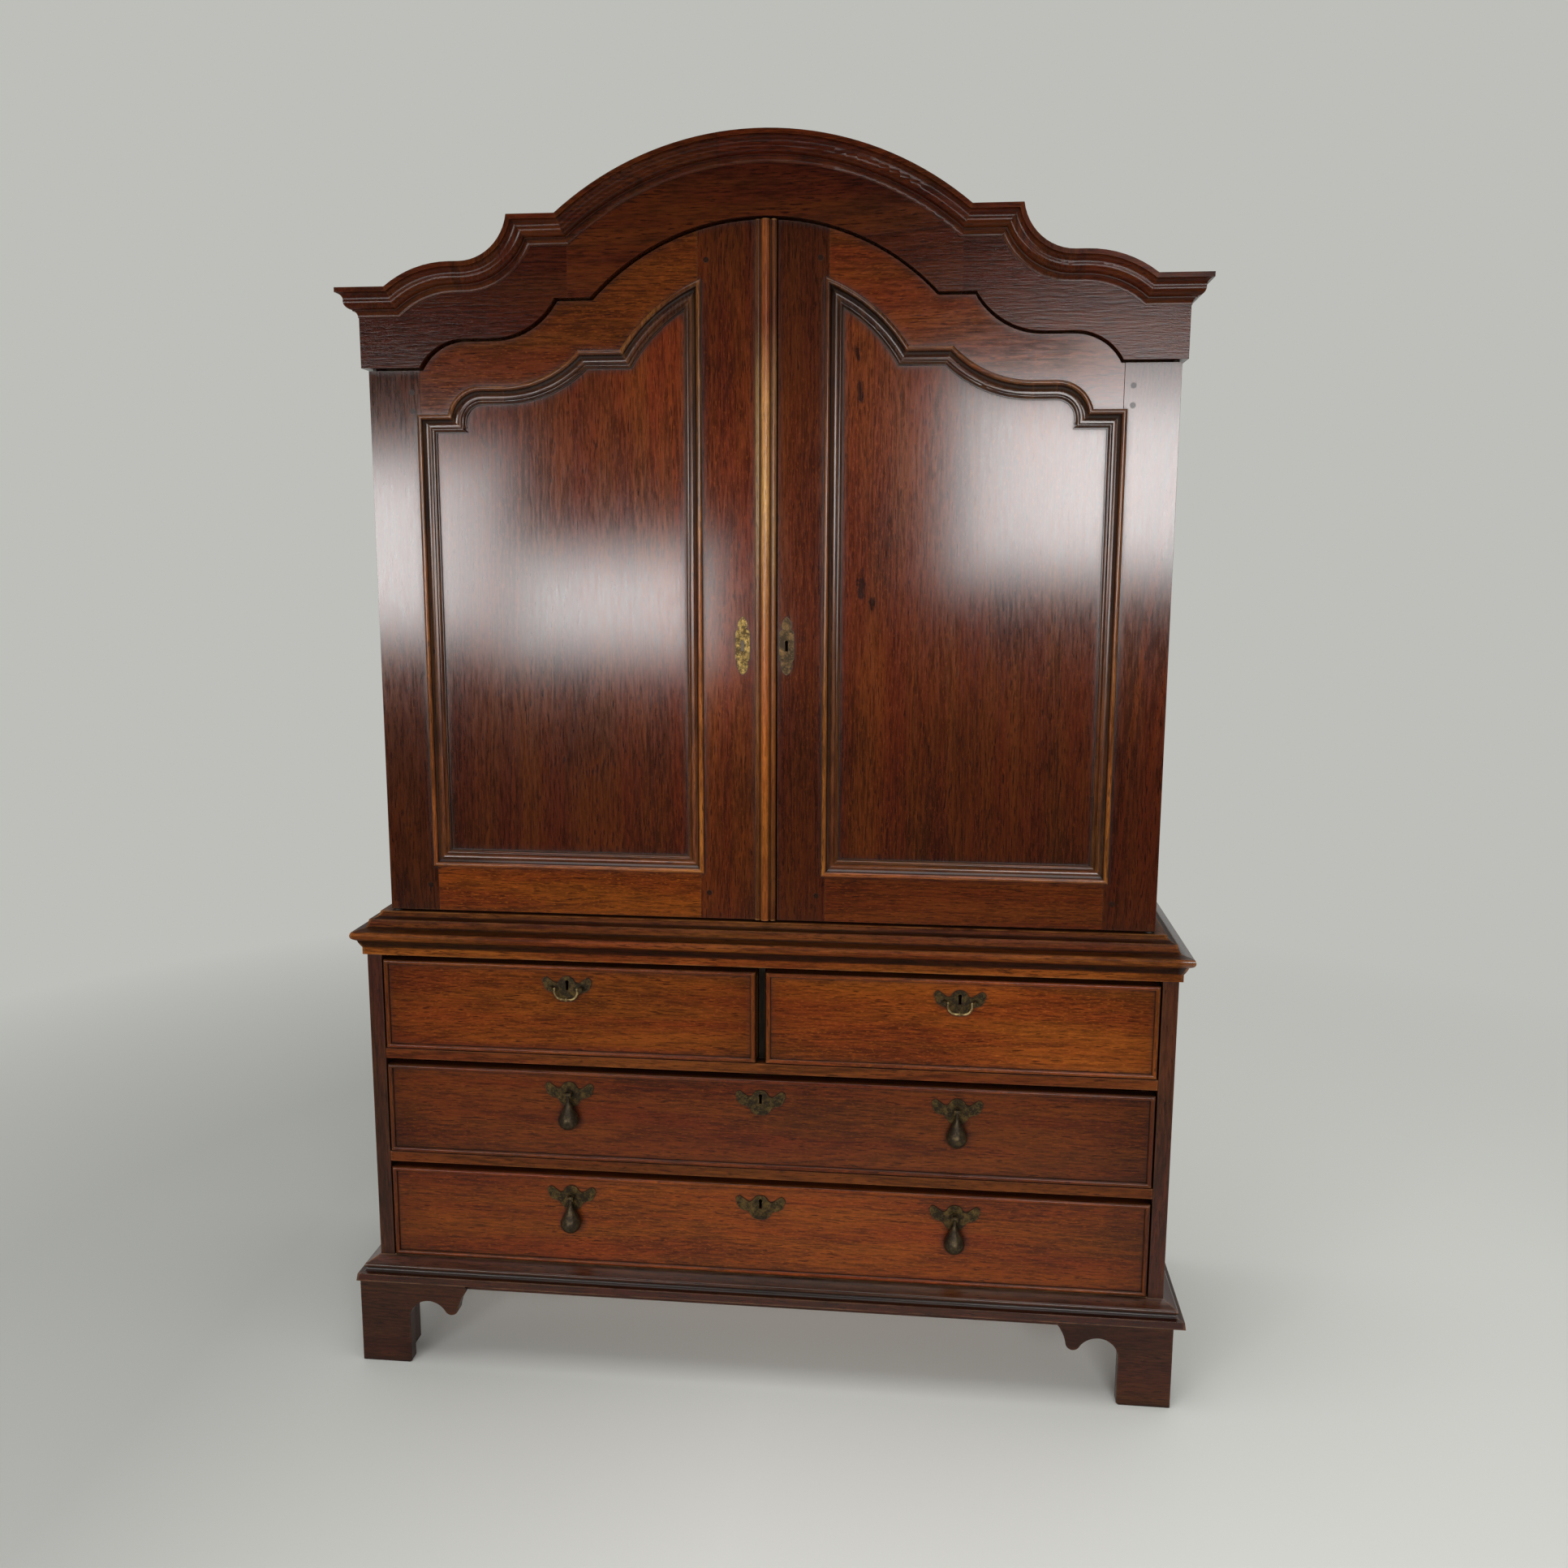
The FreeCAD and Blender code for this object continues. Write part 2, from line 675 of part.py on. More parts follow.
# Cupboard: sides, backs, floor with sill, head rail, roof planks
roof_foot_z = cornice_line[0] - roof_under
side_board = box(inner_half, cupboard_half, cupboard_front, back_face, chest_top_z, roof_foot_z)
save("upper_sides", pair(side_board))
cupboard_back = roofed(cupboard_half, chest_top_z, back_face, case_back)
save("upper_back_boards", boards(cupboard_back, cupboard_half, cupboard_back_boards, hair))
floor = box(-inner_half, inner_half, cupboard_front, back_face, waist_top_z - board_thickness, waist_top_z)
floor = floor.cut(box(-bolt_x - bolt_width / 2 - mortise_gap, -bolt_x + bolt_width / 2 + mortise_gap,
                      cupboard_front, door_back + bolt_plate_thickness + bolt_thickness + 2 * mortise_gap,
                      waist_top_z - bolt_throw, waist_top_z + overrun))
sill = box(-cupboard_half, cupboard_half, case_front + cupboard_inset, cupboard_front,
           chest_top_z, waist_top_z)
save("upper_floor", [floor, sill])
head = roofed(inner_half, door_bottom_z, cupboard_front, cupboard_front + head_rail_thickness)
head = head.cut(under_line(whole_serpentine(frieze_line, inner_half, head_rail_lap), door_bottom_z,
                           cupboard_front, cupboard_front + head_rail_thickness))
bolt_top_z = serpentine(frieze_line, cupboard_half, bolt_x, head_rail_lap)[-1].end[1] - bolt_rest_gap
head = head.cut(box(-bolt_x - bolt_width / 2 - mortise_gap, -bolt_x + bolt_width / 2 + mortise_gap,
                    cupboard_front, door_back + bolt_plate_thickness + bolt_thickness + 2 * mortise_gap,
                    bolt_top_z, bolt_top_z + bolt_throw + mortise_gap))
save("head_rail", head.Solids)
outer = roof_points(cupboard_half, roof_drop)
inner = roof_points(cupboard_half, roof_under)
planks = []
for index in range(len(outer) - 1):
    corners = (outer[index], outer[index + 1], inner[index + 1], inner[index])
    face = outline_face(corners, lambda x, z: V(x, cupboard_front, z))
    planks.append(face.extrude(V(0, case_back - cupboard_front, 0)))
save("roof_planks", planks)

# Shelves on bearers
shelves = []
for rise in (lower_shelf_rise, middle_shelf_rise, upper_shelf_rise):
    level = waist_top_z + rise
    shelves.append(box(-inner_half, inner_half, case_front + shelf_front, back_face,
                       level - shelf_thickness, level))
    bearer = box(inner_half - bearer_width, inner_half, case_front + shelf_front, back_face,
                 level - shelf_thickness - bearer_height, level - shelf_thickness)
    shelves += pair(bearer)
save("shelves", shelves)

# Frieze in three boards with thin returns along the sides
frieze = under_line(whole_serpentine(cornice_line, frieze_half, 0), door_bottom_z,
                    frieze_front, cupboard_front)
frieze = frieze.cut(under_line(whole_serpentine(frieze_line, frieze_half, 0), door_bottom_z,
                               frieze_front, cupboard_front))
top_hole = rod(pivot_pin, V(pivot_x, pivot_y, frieze_line[0]),
               V(pivot_x, pivot_y, frieze_line[0] + pivot_hold))
frieze = frieze.cut(top_hole).cut(mirrored(top_hole))
frieze_boards = []
frieze_ends = (-frieze_half, -frieze_seam_x, frieze_seam_x, frieze_half)
for x0, x1 in zip(frieze_ends, frieze_ends[1:]):
    frieze_boards += frieze.common(box(x0, x1, frieze_front, cupboard_front, 0, cornice_line[-2])).Solids
frieze_return = box(cupboard_half, frieze_half, cupboard_front, case_back, frieze_line[0], cornice_line[0])
save("frieze_boards", frieze_boards + pair(frieze_return))

# Cornice: mitred lengths over the shoulders and the arch, returned along the sides
cornice_section = (
    (0, 0), (0, cornice_projection), (cornice_fillet, cornice_projection),
    (cornice_fillet, cornice_cove_start),
    cornice_cove_mid + cornice_cove_end, cornice_ovolo_mid + cornice_ovolo_end,
    (cornice_step[0], cornice_ovolo_end[1]), cornice_step,
    cornice_foot_mid + (cornice_height, cornice_foot),
    (cornice_height, 0))
cornice_path = whole_serpentine(cornice_line, frieze_half + cornice_height, 0)
lengths = moulding(cornice_path, cornice_section, frieze_front, cornice_height, False)
corner = corner_waste(frieze_half, frieze_front, cornice_height, True)
lengths[0] = lengths[0].cut(corner).Solids[0]
lengths[-1] = lengths[-1].cut(mirrored(corner)).Solids[0]
cornice_side_section = [tuple(value for pair_at in range(0, len(step), 2)
                              for value in (step[pair_at + 1], cornice_line[0] - step[pair_at]))
                        for step in cornice_section]
cornice_return = mitred_side(cornice_side_section, frieze_half, frieze_front, case_back, cornice_height)
save("cornice_arch", lengths[4:7])
save("cornice_shoulders", lengths[:4] + lengths[7:] + pair(cornice_return))

# Iron pins in the frieze and in the waist on which the doors turn
low_pin = rod(pivot_pin, V(pivot_x, pivot_y, waist_top_z - pivot_hold),
              V(pivot_x, pivot_y, door_bottom_z + pivot_bush_length - hair))
low_pin = low_pin.fuse(rod(pivot_collar, V(pivot_x, pivot_y, waist_top_z),
                           V(pivot_x, pivot_y, waist_top_z + pivot_collar_height)))
door_shoulder_z = frieze_line[0] - head_gap
high_pin = rod(pivot_pin, V(pivot_x, pivot_y, door_shoulder_z - pivot_bush_length + hair),
               V(pivot_x, pivot_y, frieze_line[0] + pivot_hold))
save("door_pivot_pins", pair(low_pin) + pair(high_pin))


def panel_path(inset):
    x0, x1, z0 = panel_inner_x + inset, panel_outer_x - inset, panel_bottom_z + inset
    head_line = serpentine(panel_line, x1, x0, inset)
    corners = [(x0, z0), (x1, z0), head_line[0].start]
    return [Straight(corners[0], corners[1]), Straight(corners[1], corners[2])] + head_line \
        + [Straight(head_line[-1].end, corners[0])]


def filled(path, y0, y1):
    return Part.Face(Part.Wire([stretch.edge(y0) for stretch in path])).extrude(V(0, y1 - y0, 0))


# Doors, drawn for the right-hand side; the left door is wider by its meeting edge
mould_section = (
    (0, 0), (0, mould_edge), mould_bead_mid + mould_bead_end, mould_cove_mid + mould_cove_end,
    (mould_fillet, mould_cove_end[1]), mould_inner_mid + mould_inner_end, (mould_width, mould_inner_end[1]),
    (mould_width, -panel_recess), (panel_lap, -panel_recess), (panel_lap, 0))
bush_low = rod(pivot_bush, V(pivot_x, pivot_y, door_bottom_z),
               V(pivot_x, pivot_y, door_bottom_z + pivot_bush_length))
bush_high = rod(pivot_bush, V(pivot_x, pivot_y, door_shoulder_z - pivot_bush_length),
                V(pivot_x, pivot_y, door_shoulder_z))
bush_bore = rod(pivot_pin + running_fit, V(pivot_x, pivot_y, door_bottom_z),
                V(pivot_x, pivot_y, door_shoulder_z))
back_reach = door_back - pivot_y
meeting_joint_x = panel_inner_x + panel_lap


def door_pieces(meeting_x):
    line = serpentine(frieze_line, cupboard_half, meeting_x, head_gap)
    blank = under_line(line, door_bottom_z, door_front, door_back)
    high = frieze_line[-2]
    hinge = blank.common(box(hinge_joint_x, cupboard_half, door_front, door_back, door_bottom_z, high))
    rounding = box(pivot_x, cupboard_half, pivot_y, door_back, door_bottom_z, high).cut(
        rod(back_reach, V(pivot_x, pivot_y, door_bottom_z), V(pivot_x, pivot_y, high)))
    hinge = hinge.cut(rounding).cut(bush_low).cut(bush_high)
    meeting = blank.common(box(meeting_x, meeting_joint_x, door_front, door_back, door_bottom_z, high))
    between = blank.common(box(meeting_joint_x, hinge_joint_x, door_front, door_back, door_bottom_z, high))
    door_rails = between.cut(filled(panel_path(panel_lap), door_front, door_back))
    panel_y = door_front + panel_recess
    panel = filled(panel_path(panel_lap), panel_y, panel_y + panel_thickness)
    trim = moulding(panel_path(0), mould_section, door_front, mould_width, True)
    bushes = [bush_low.cut(bush_bore), bush_high.cut(bush_bore)]
    return hinge, meeting, door_rails.Solids, panel, trim, bushes


def door_plate(x):
    face = outline_face(both_halves(door_brass), lambda u, v: V(x + u, door_front, door_brass_z + v))
    return face.extrude(V(0, -brass_thickness, 0))


key_top_z = door_brass_z + keyhole_length / 2
door_key = keyhole(right_brass_x, key_top_z, door_front - overrun, door_back)

# Right door with its rim lock
hinge, meeting, door_rails, panel, trim, bushes = door_pieces(right_meeting_x)
save("right_door_stiles", [hinge, meeting.cut(door_key)])
save("right_door_rails", door_rails)
save("right_door_panel", [panel])
save("right_door_panel_moulding", trim)
save("right_door_pivot_bushes", bushes)
save("right_door_escutcheon", [door_plate(right_brass_x).cut(door_key)])
lock_x = right_meeting_x + door_lock_inset
lock_z = door_brass_z - door_lock_height + door_lock_rise
lock_case = box(lock_x, lock_x + door_lock_width, door_back, door_back + door_lock_depth,
                lock_z, lock_z + door_lock_height)
bolt_top = lock_z + door_lock_height - door_lock_bolt_drop
bolt_y = door_back + door_lock_bolt_set
door_bolt = box(lock_x, lock_x + door_lock_bolt[0], bolt_y, bolt_y + door_lock_bolt[1],
                bolt_top - door_lock_bolt[2], bolt_top)
channel = box(lock_x - overrun, lock_x + door_lock_bolt[0] + bolt_fit, bolt_y - bolt_fit,
              bolt_y + door_lock_bolt[1] + bolt_fit,
              bolt_top - door_lock_bolt[2] - bolt_fit, bolt_top + bolt_fit)
key_well = keyhole(right_brass_x, key_top_z, door_back, door_back + door_lock_depth * key_well_share)
save("right_door_lock", [lock_case.cut(channel).cut(key_well)])
save("right_door_lock_bolt", [door_bolt])

# Left door: astragal, blind escutcheon, bolts, keeper
hinge, meeting, door_rails, panel, trim, bushes = door_pieces(-left_meeting_x)
save("left_door_stiles", [mirrored(hinge), mirrored(meeting)])
save("left_door_rails", [mirrored(solid) for solid in door_rails])
save("left_door_panel", [mirrored(panel)])
save("left_door_panel_moulding", [mirrored(solid) for solid in trim])
save("left_door_pivot_bushes", [mirrored(solid) for solid in bushes])
save("left_door_escutcheon", [mirrored(door_plate(left_brass_x))])
astragal_section = (
    (0, 0), (0, astragal_edge), astragal_round_mid + astragal_groove,
    (astragal_bead_start, astragal_groove[1]),
    astragal_bead_mid + (astragal_bead_end, astragal_groove[1]),
    (astragal_fillet_start, astragal_groove[1]),
    (astragal_fillet_start, astragal_edge), astragal_fillet_mid + (astragal_width, astragal_edge),
    (astragal_width, 0))
strip = outline_face(astragal_section, lambda u, h: V(left_meeting_x - u, door_front - h, door_bottom_z))
strip = strip.extrude(V(0, 0, frieze_line[-2] - door_bottom_z))
under_frieze = under_line(whole_serpentine(frieze_line, frieze_half, head_gap), door_bottom_z,
                          door_front - astragal_width, door_front)
save("left_door_astragal", strip.common(under_frieze).Solids)


def slide_bolt(tip_z, way):
    """A flat bolt that slides in two staples on a plate; tip at tip_z, sliding up or down by way."""
    x0, x1 = -bolt_x - bolt_width / 2, -bolt_x + bolt_width / 2
    y0 = door_back + bolt_plate_thickness + bolt_fit
    z_ends = sorted((tip_z, tip_z - way * bolt_length))
    bar = box(x0, x1, y0, y0 + bolt_thickness, *z_ends)
    middle = sum(z_ends) / 2
    bar = bar.fuse(rod(bolt_knob, V(-bolt_x, y0 + bolt_thickness, middle),
                       V(-bolt_x, y0 + bolt_thickness + bolt_knob_length, middle)))
    plate_tip = tip_z - way * bolt_plate_offset
    p_ends = sorted((plate_tip, plate_tip - way * bolt_plate_length))
    plate = box(-bolt_x - bolt_plate_width / 2, -bolt_x + bolt_plate_width / 2,
                door_back, door_back + bolt_plate_thickness, *p_ends)
    for share in staple_shares:
        z = p_ends[0] + bolt_plate_length * share
        staple = box(x0 - staple_wall, x1 + staple_wall, door_back + bolt_plate_thickness,
                     y0 + bolt_thickness + bolt_fit + staple_wall,
                     z - staple_height / 2, z + staple_height / 2)
        room = box(x0 - bolt_fit, x1 + bolt_fit, y0 - bolt_fit, y0 + bolt_thickness + bolt_fit,
                   z - staple_height, z + staple_height)
        plate = plate.fuse(staple.cut(room))
    return bar.removeSplitter(), plate.removeSplitter()


top_bolt, top_plate = slide_bolt(bolt_top_z, 1)
low_bolt, low_plate = slide_bolt(waist_top_z + bolt_rest_gap, -1)
keeper = box(left_meeting_x - keeper_inset - keeper_width, left_meeting_x - keeper_inset, door_back,
             bolt_y + door_lock_bolt[1] + mortise_gap + keeper_wall,
             bolt_top - door_lock_bolt[2] - mortise_gap - keeper_wall, bolt_top + mortise_gap + keeper_wall)
keeper = keeper.cut(box(0, left_meeting_x, bolt_y - mortise_gap, bolt_y + door_lock_bolt[1] + mortise_gap,
                        bolt_top - door_lock_bolt[2] - mortise_gap, bolt_top + mortise_gap))
save("left_door_bolt_plates", [top_plate, low_plate, keeper])
save("left_door_top_bolt", [top_bolt])
save("left_door_bottom_bolt", [low_bolt])

# Drawers
bead_section = ((0, 0), (0, bead_edge), (bead_width / 2, bead_height, bead_width, bead_edge),
                (bead_width, 0))
plate_front = field_front - brass_thickness
pull_y = plate_front - pull_stand


def winged(x, z):
    face = outline_face(both_halves(winged_plate), lambda u, v: V(x + u, field_front, z + v))
    return face.extrude(V(0, -brass_thickness, 0))


def fork(x, z):
    """A boss with two cheeks and a cross pin."""
    post = rod(fork_boss, V(x, plate_front, z), V(x, plate_front - fork_boss_height, z))
    tip = pull_y - fork_half_height
    for side in (-1, 1):
        a = x + side * fork_gap_half
        b = x + side * (fork_gap_half + fork_cheek)
        post = post.fuse(box(min(a, b), max(a, b), tip, plate_front - fork_boss_height,
                             z - fork_half_height, z + fork_half_height))
    span = fork_gap_half + fork_cheek
    return post.fuse(rod(drop_pin, V(x - span, pull_y, z), V(x + span, pull_y, z))).removeSplitter()


def drop(x, z):
    """A pear-shaped drop with a flat back, hung by an eye."""
    face = outline_face(drop_shape, lambda r, v: V(x + r, pull_y, z + v))
    pear = face.revolve(V(x, pull_y, 0), V(0, 0, 1), 360)
    reach = -drop_shape[-1][-1]
    pear = pear.cut(box(x - reach, x + reach, pull_y + drop_back, pull_y + reach, z - 2 * reach, z + reach))
    eye = rod(drop_eye, V(x - drop_eye_half, pull_y, z), V(x + drop_eye_half, pull_y, z))
    bore = rod(drop_pin + running_fit, V(x - drop_eye_half, pull_y, z), V(x + drop_eye_half, pull_y, z))
    return pear.fuse(eye).cut(bore).removeSplitter()


def posts(x, z):
    """Two studs that carry the ends of a bail."""
    studs = []
    for side in (-1, 1):
        at = x + side * post_spread
        stud = rod(post_radius, V(at, plate_front, z), V(at, pull_y - post_reach, z))
        bore = rod(bail_pin + running_fit, V(x, pull_y, z), V(x + side * (bail_pin_end + hair), pull_y, z))
        studs.append(stud.cut(bore))
    return studs


def bail(x, z):
    """A bow of round rod with turned-out ends and a small knob in the middle."""
    low = z - bail_fall
    bow = Part.makeSphere(bail_knob, V(x, pull_y, low))
    for side in (-1, 1):
        end = V(x + side * bail_half, pull_y, z)
        bend = V(end.x, pull_y, low + bail_bend)
        centre = V(end.x - side * bail_bend, pull_y, bend.z)
        ring = Part.Face(Part.Wire(Part.makeCircle(bail_rod, bend, V(0, 0, 1))))
        arm = rod(bail_rod, end, bend).fuse(ring.revolve(centre, V(0, side, 0), 90))
        arm = arm.fuse(rod(bail_rod, V(centre.x, pull_y, low), V(x, pull_y, low)))
        arm = arm.fuse(Part.makeSphere(bail_elbow, end))
        bow = bow.fuse(arm.fuse(rod(bail_pin, end, V(x + side * bail_pin_end, pull_y, z))))
    return bow.removeSplitter()


def drawer(name, x0, x1, row, lock_x, pulls):
    z0, z1 = row_bottoms[row], row_tops[row]
    key = keyhole(lock_x, z1 - keyhole_drop, plate_front - overrun, field_back)
    panel_front = box(x0, x1, field_front, field_back, z0, z1).cut(key)
    rim = [(x0, z0), (x1, z0), (x1, z1), (x0, z1)]
    path = [Straight(rim[index - 1], rim[index]) for index in range(len(rim))]
    save(name + "_front", [panel_front] + moulding(path, bead_section, field_front, bead_width, True))
    back = back_face - drawer_back_gap
    foot_z = rail_tops[row] + drawer_run_fit
    side_top = z1 - drawer_side_drop
    sides = [box(x, x + drawer_side, field_back, back, foot_z, side_top) for x in (x0, x1 - drawer_side)]
    inside = (x0 + drawer_side, x1 - drawer_side)
    bottom = box(*inside, field_back, back, z0 + drawer_floor_rise, z0 + drawer_floor_rise + drawer_floor)
    rear = box(*inside, back - drawer_side, back, z0 + drawer_floor_rise + drawer_floor, side_top)
    save(name + "_box", sides + [bottom, rear])
    lock_ends = (lock_x - lock_width / 2, lock_x + lock_width / 2)
    cap_y = field_back + lock_depth * key_well_share
    lock_case = box(*lock_ends, field_back, cap_y, z1 - lock_height, z1)
    lock_cap = box(*lock_ends, cap_y, field_back + lock_depth, z1 - lock_height, z1)
    bolt_y0 = field_back + lock_bolt_set
    bolt = box(lock_x - lock_bolt[0] / 2, lock_x + lock_bolt[0] / 2, bolt_y0, bolt_y0 + lock_bolt[1],
               z1 - hair - lock_bolt[2], z1 - hair)
    slot = box(lock_x - lock_bolt[0] / 2 - bolt_fit, lock_x + lock_bolt[0] / 2 + bolt_fit,
               bolt_y0 - bolt_fit, bolt_y0 + lock_bolt[1] + bolt_fit,
               z1 - hair - lock_bolt[2] - bolt_fit, z1 + overrun)
    well = keyhole(lock_x, z1 - keyhole_drop, field_back, cap_y)
    brasses = [lock_case.cut(slot).cut(well), lock_cap.cut(slot), winged(lock_x, z1 - plate_drop).cut(key)]
    save(name + "_lock_bolt", [bolt])
    pull_z = z1 - pull_drop
    if len(pulls) > 1:
        for side, x in zip(("left", "right"), pulls):
            brasses += [winged(x, z1 - plate_drop), fork(x, pull_z)]
            save("%s_%s_drop" % (name, side), [drop(x, pull_z)])
    else:
        brasses += posts(lock_x, pull_z)
        save(name + "_bail", [bail(lock_x, pull_z)])
    save(name + "_brasses", brasses)


drawer("short_drawer_left", -drawer_half, -drawer_middle, 0, -pull_x, (-pull_x,))
drawer("short_drawer_right", drawer_middle, drawer_half, 0, pull_x, (pull_x,))
drawer("upper_long_drawer", -drawer_half, drawer_half, 1, 0, (-pull_x, pull_x))
drawer("lower_long_drawer", -drawer_half, drawer_half, 2, 0, (-pull_x, pull_x))
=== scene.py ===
import math

import bpy
from mathutils import Matrix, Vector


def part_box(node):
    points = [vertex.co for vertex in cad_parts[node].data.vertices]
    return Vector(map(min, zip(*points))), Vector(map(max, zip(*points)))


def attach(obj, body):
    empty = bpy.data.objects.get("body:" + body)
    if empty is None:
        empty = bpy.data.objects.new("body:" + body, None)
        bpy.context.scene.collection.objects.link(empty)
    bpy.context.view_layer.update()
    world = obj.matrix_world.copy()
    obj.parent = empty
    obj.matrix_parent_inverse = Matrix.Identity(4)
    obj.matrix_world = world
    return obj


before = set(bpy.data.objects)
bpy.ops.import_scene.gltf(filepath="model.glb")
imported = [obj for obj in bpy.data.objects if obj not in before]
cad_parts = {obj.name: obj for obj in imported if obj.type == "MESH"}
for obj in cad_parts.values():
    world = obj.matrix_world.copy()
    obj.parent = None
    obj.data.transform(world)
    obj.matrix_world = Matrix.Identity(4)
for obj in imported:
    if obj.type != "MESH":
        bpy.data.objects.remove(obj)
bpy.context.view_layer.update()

# Chest case: two sides polished dark, bare boards and runners inside, and dusty back boards nailed on.
# The helpers here make every other wood of the press as well: each board gets eased arrises, grain
# that runs its own way, and its own piece of the tree.


def add(tree, kind, inputs=None, **settings):
    """Places one node in a tree; inputs are plain values or the outputs of other nodes."""
    node = tree.nodes.new(kind)
    for name, value in settings.items():
        setattr(node, name, value)
    for key, value in (inputs or {}).items():
        if isinstance(value, bpy.types.NodeSocket):
            tree.links.new(value, node.inputs[key])
        else:
            node.inputs[key].default_value = value
    return node


def figure(tree, operation, first, second=0.0, clamp=False):
    """One sum on numbers that change over the surface."""
    return add(tree, "ShaderNodeMath", {0: first, 1: second}, operation=operation,
               use_clamp=clamp).outputs[0]


def vector(tree, operation, first, second):
    """One sum on vectors that change over the surface."""
    return add(tree, "ShaderNodeVectorMath", {0: first, 1: second}, operation=operation).outputs[0]


def stretch(tree, first, factors):
    return vector(tree, "MULTIPLY", first, factors)


def scaled(tree, first, factor):
    return add(tree, "ShaderNodeVectorMath", {0: first, "Scale": factor}, operation="SCALE").outputs[0]


def length(tree, first):
    return add(tree, "ShaderNodeVectorMath", {0: first}, operation="LENGTH").outputs["Value"]


def parts(tree, first):
    """The x, y and z of a vector."""
    return add(tree, "ShaderNodeSeparateXYZ", {0: first}).outputs


def joined(tree, x=0.0, y=0.0, z=0.0):
    return add(tree, "ShaderNodeCombineXYZ", {0: x, 1: y, 2: z}).outputs[0]


def place_of(tree):
    """Where a point lies on its piece, in metres."""
    return add(tree, "ShaderNodeTexCoord").outputs["Object"]


def tint(tree, share, ground, over, way="MIX"):
    """Lays one colour over another by a share."""
    return add(tree, "ShaderNodeMix", {0: share, 6: ground, 7: over}, data_type="RGBA",
               blend_type=way).outputs[2]


def span(tree, value, low, high, to_low=0.0, to_high=1.0):
    """Spreads the stretch from low to high over another stretch, clamped."""
    return add(tree, "ShaderNodeMapRange", {0: value, 1: low, 2: high, 3: to_low, 4: to_high}).outputs[0]


def noise(tree, spot, detail=2.0, roughness=0.5):
    return add(tree, "ShaderNodeTexNoise", {"Vector": spot, "Scale": 1.0, "Detail": detail,
                                            "Roughness": roughness})


def group_of(name, inputs, outputs, kind="ShaderNodeTree"):
    """An empty group with its sockets; gives the tree and its two ends."""
    tree = bpy.data.node_groups.new(name, kind)
    for socket, sort in inputs.items():
        tree.interface.new_socket(name=socket, in_out="INPUT", socket_type=sort)
    for socket, sort in outputs.items():
        tree.interface.new_socket(name=socket, in_out="OUTPUT", socket_type=sort)
    return tree, tree.nodes.new("NodeGroupInput"), tree.nodes.new("NodeGroupOutput")


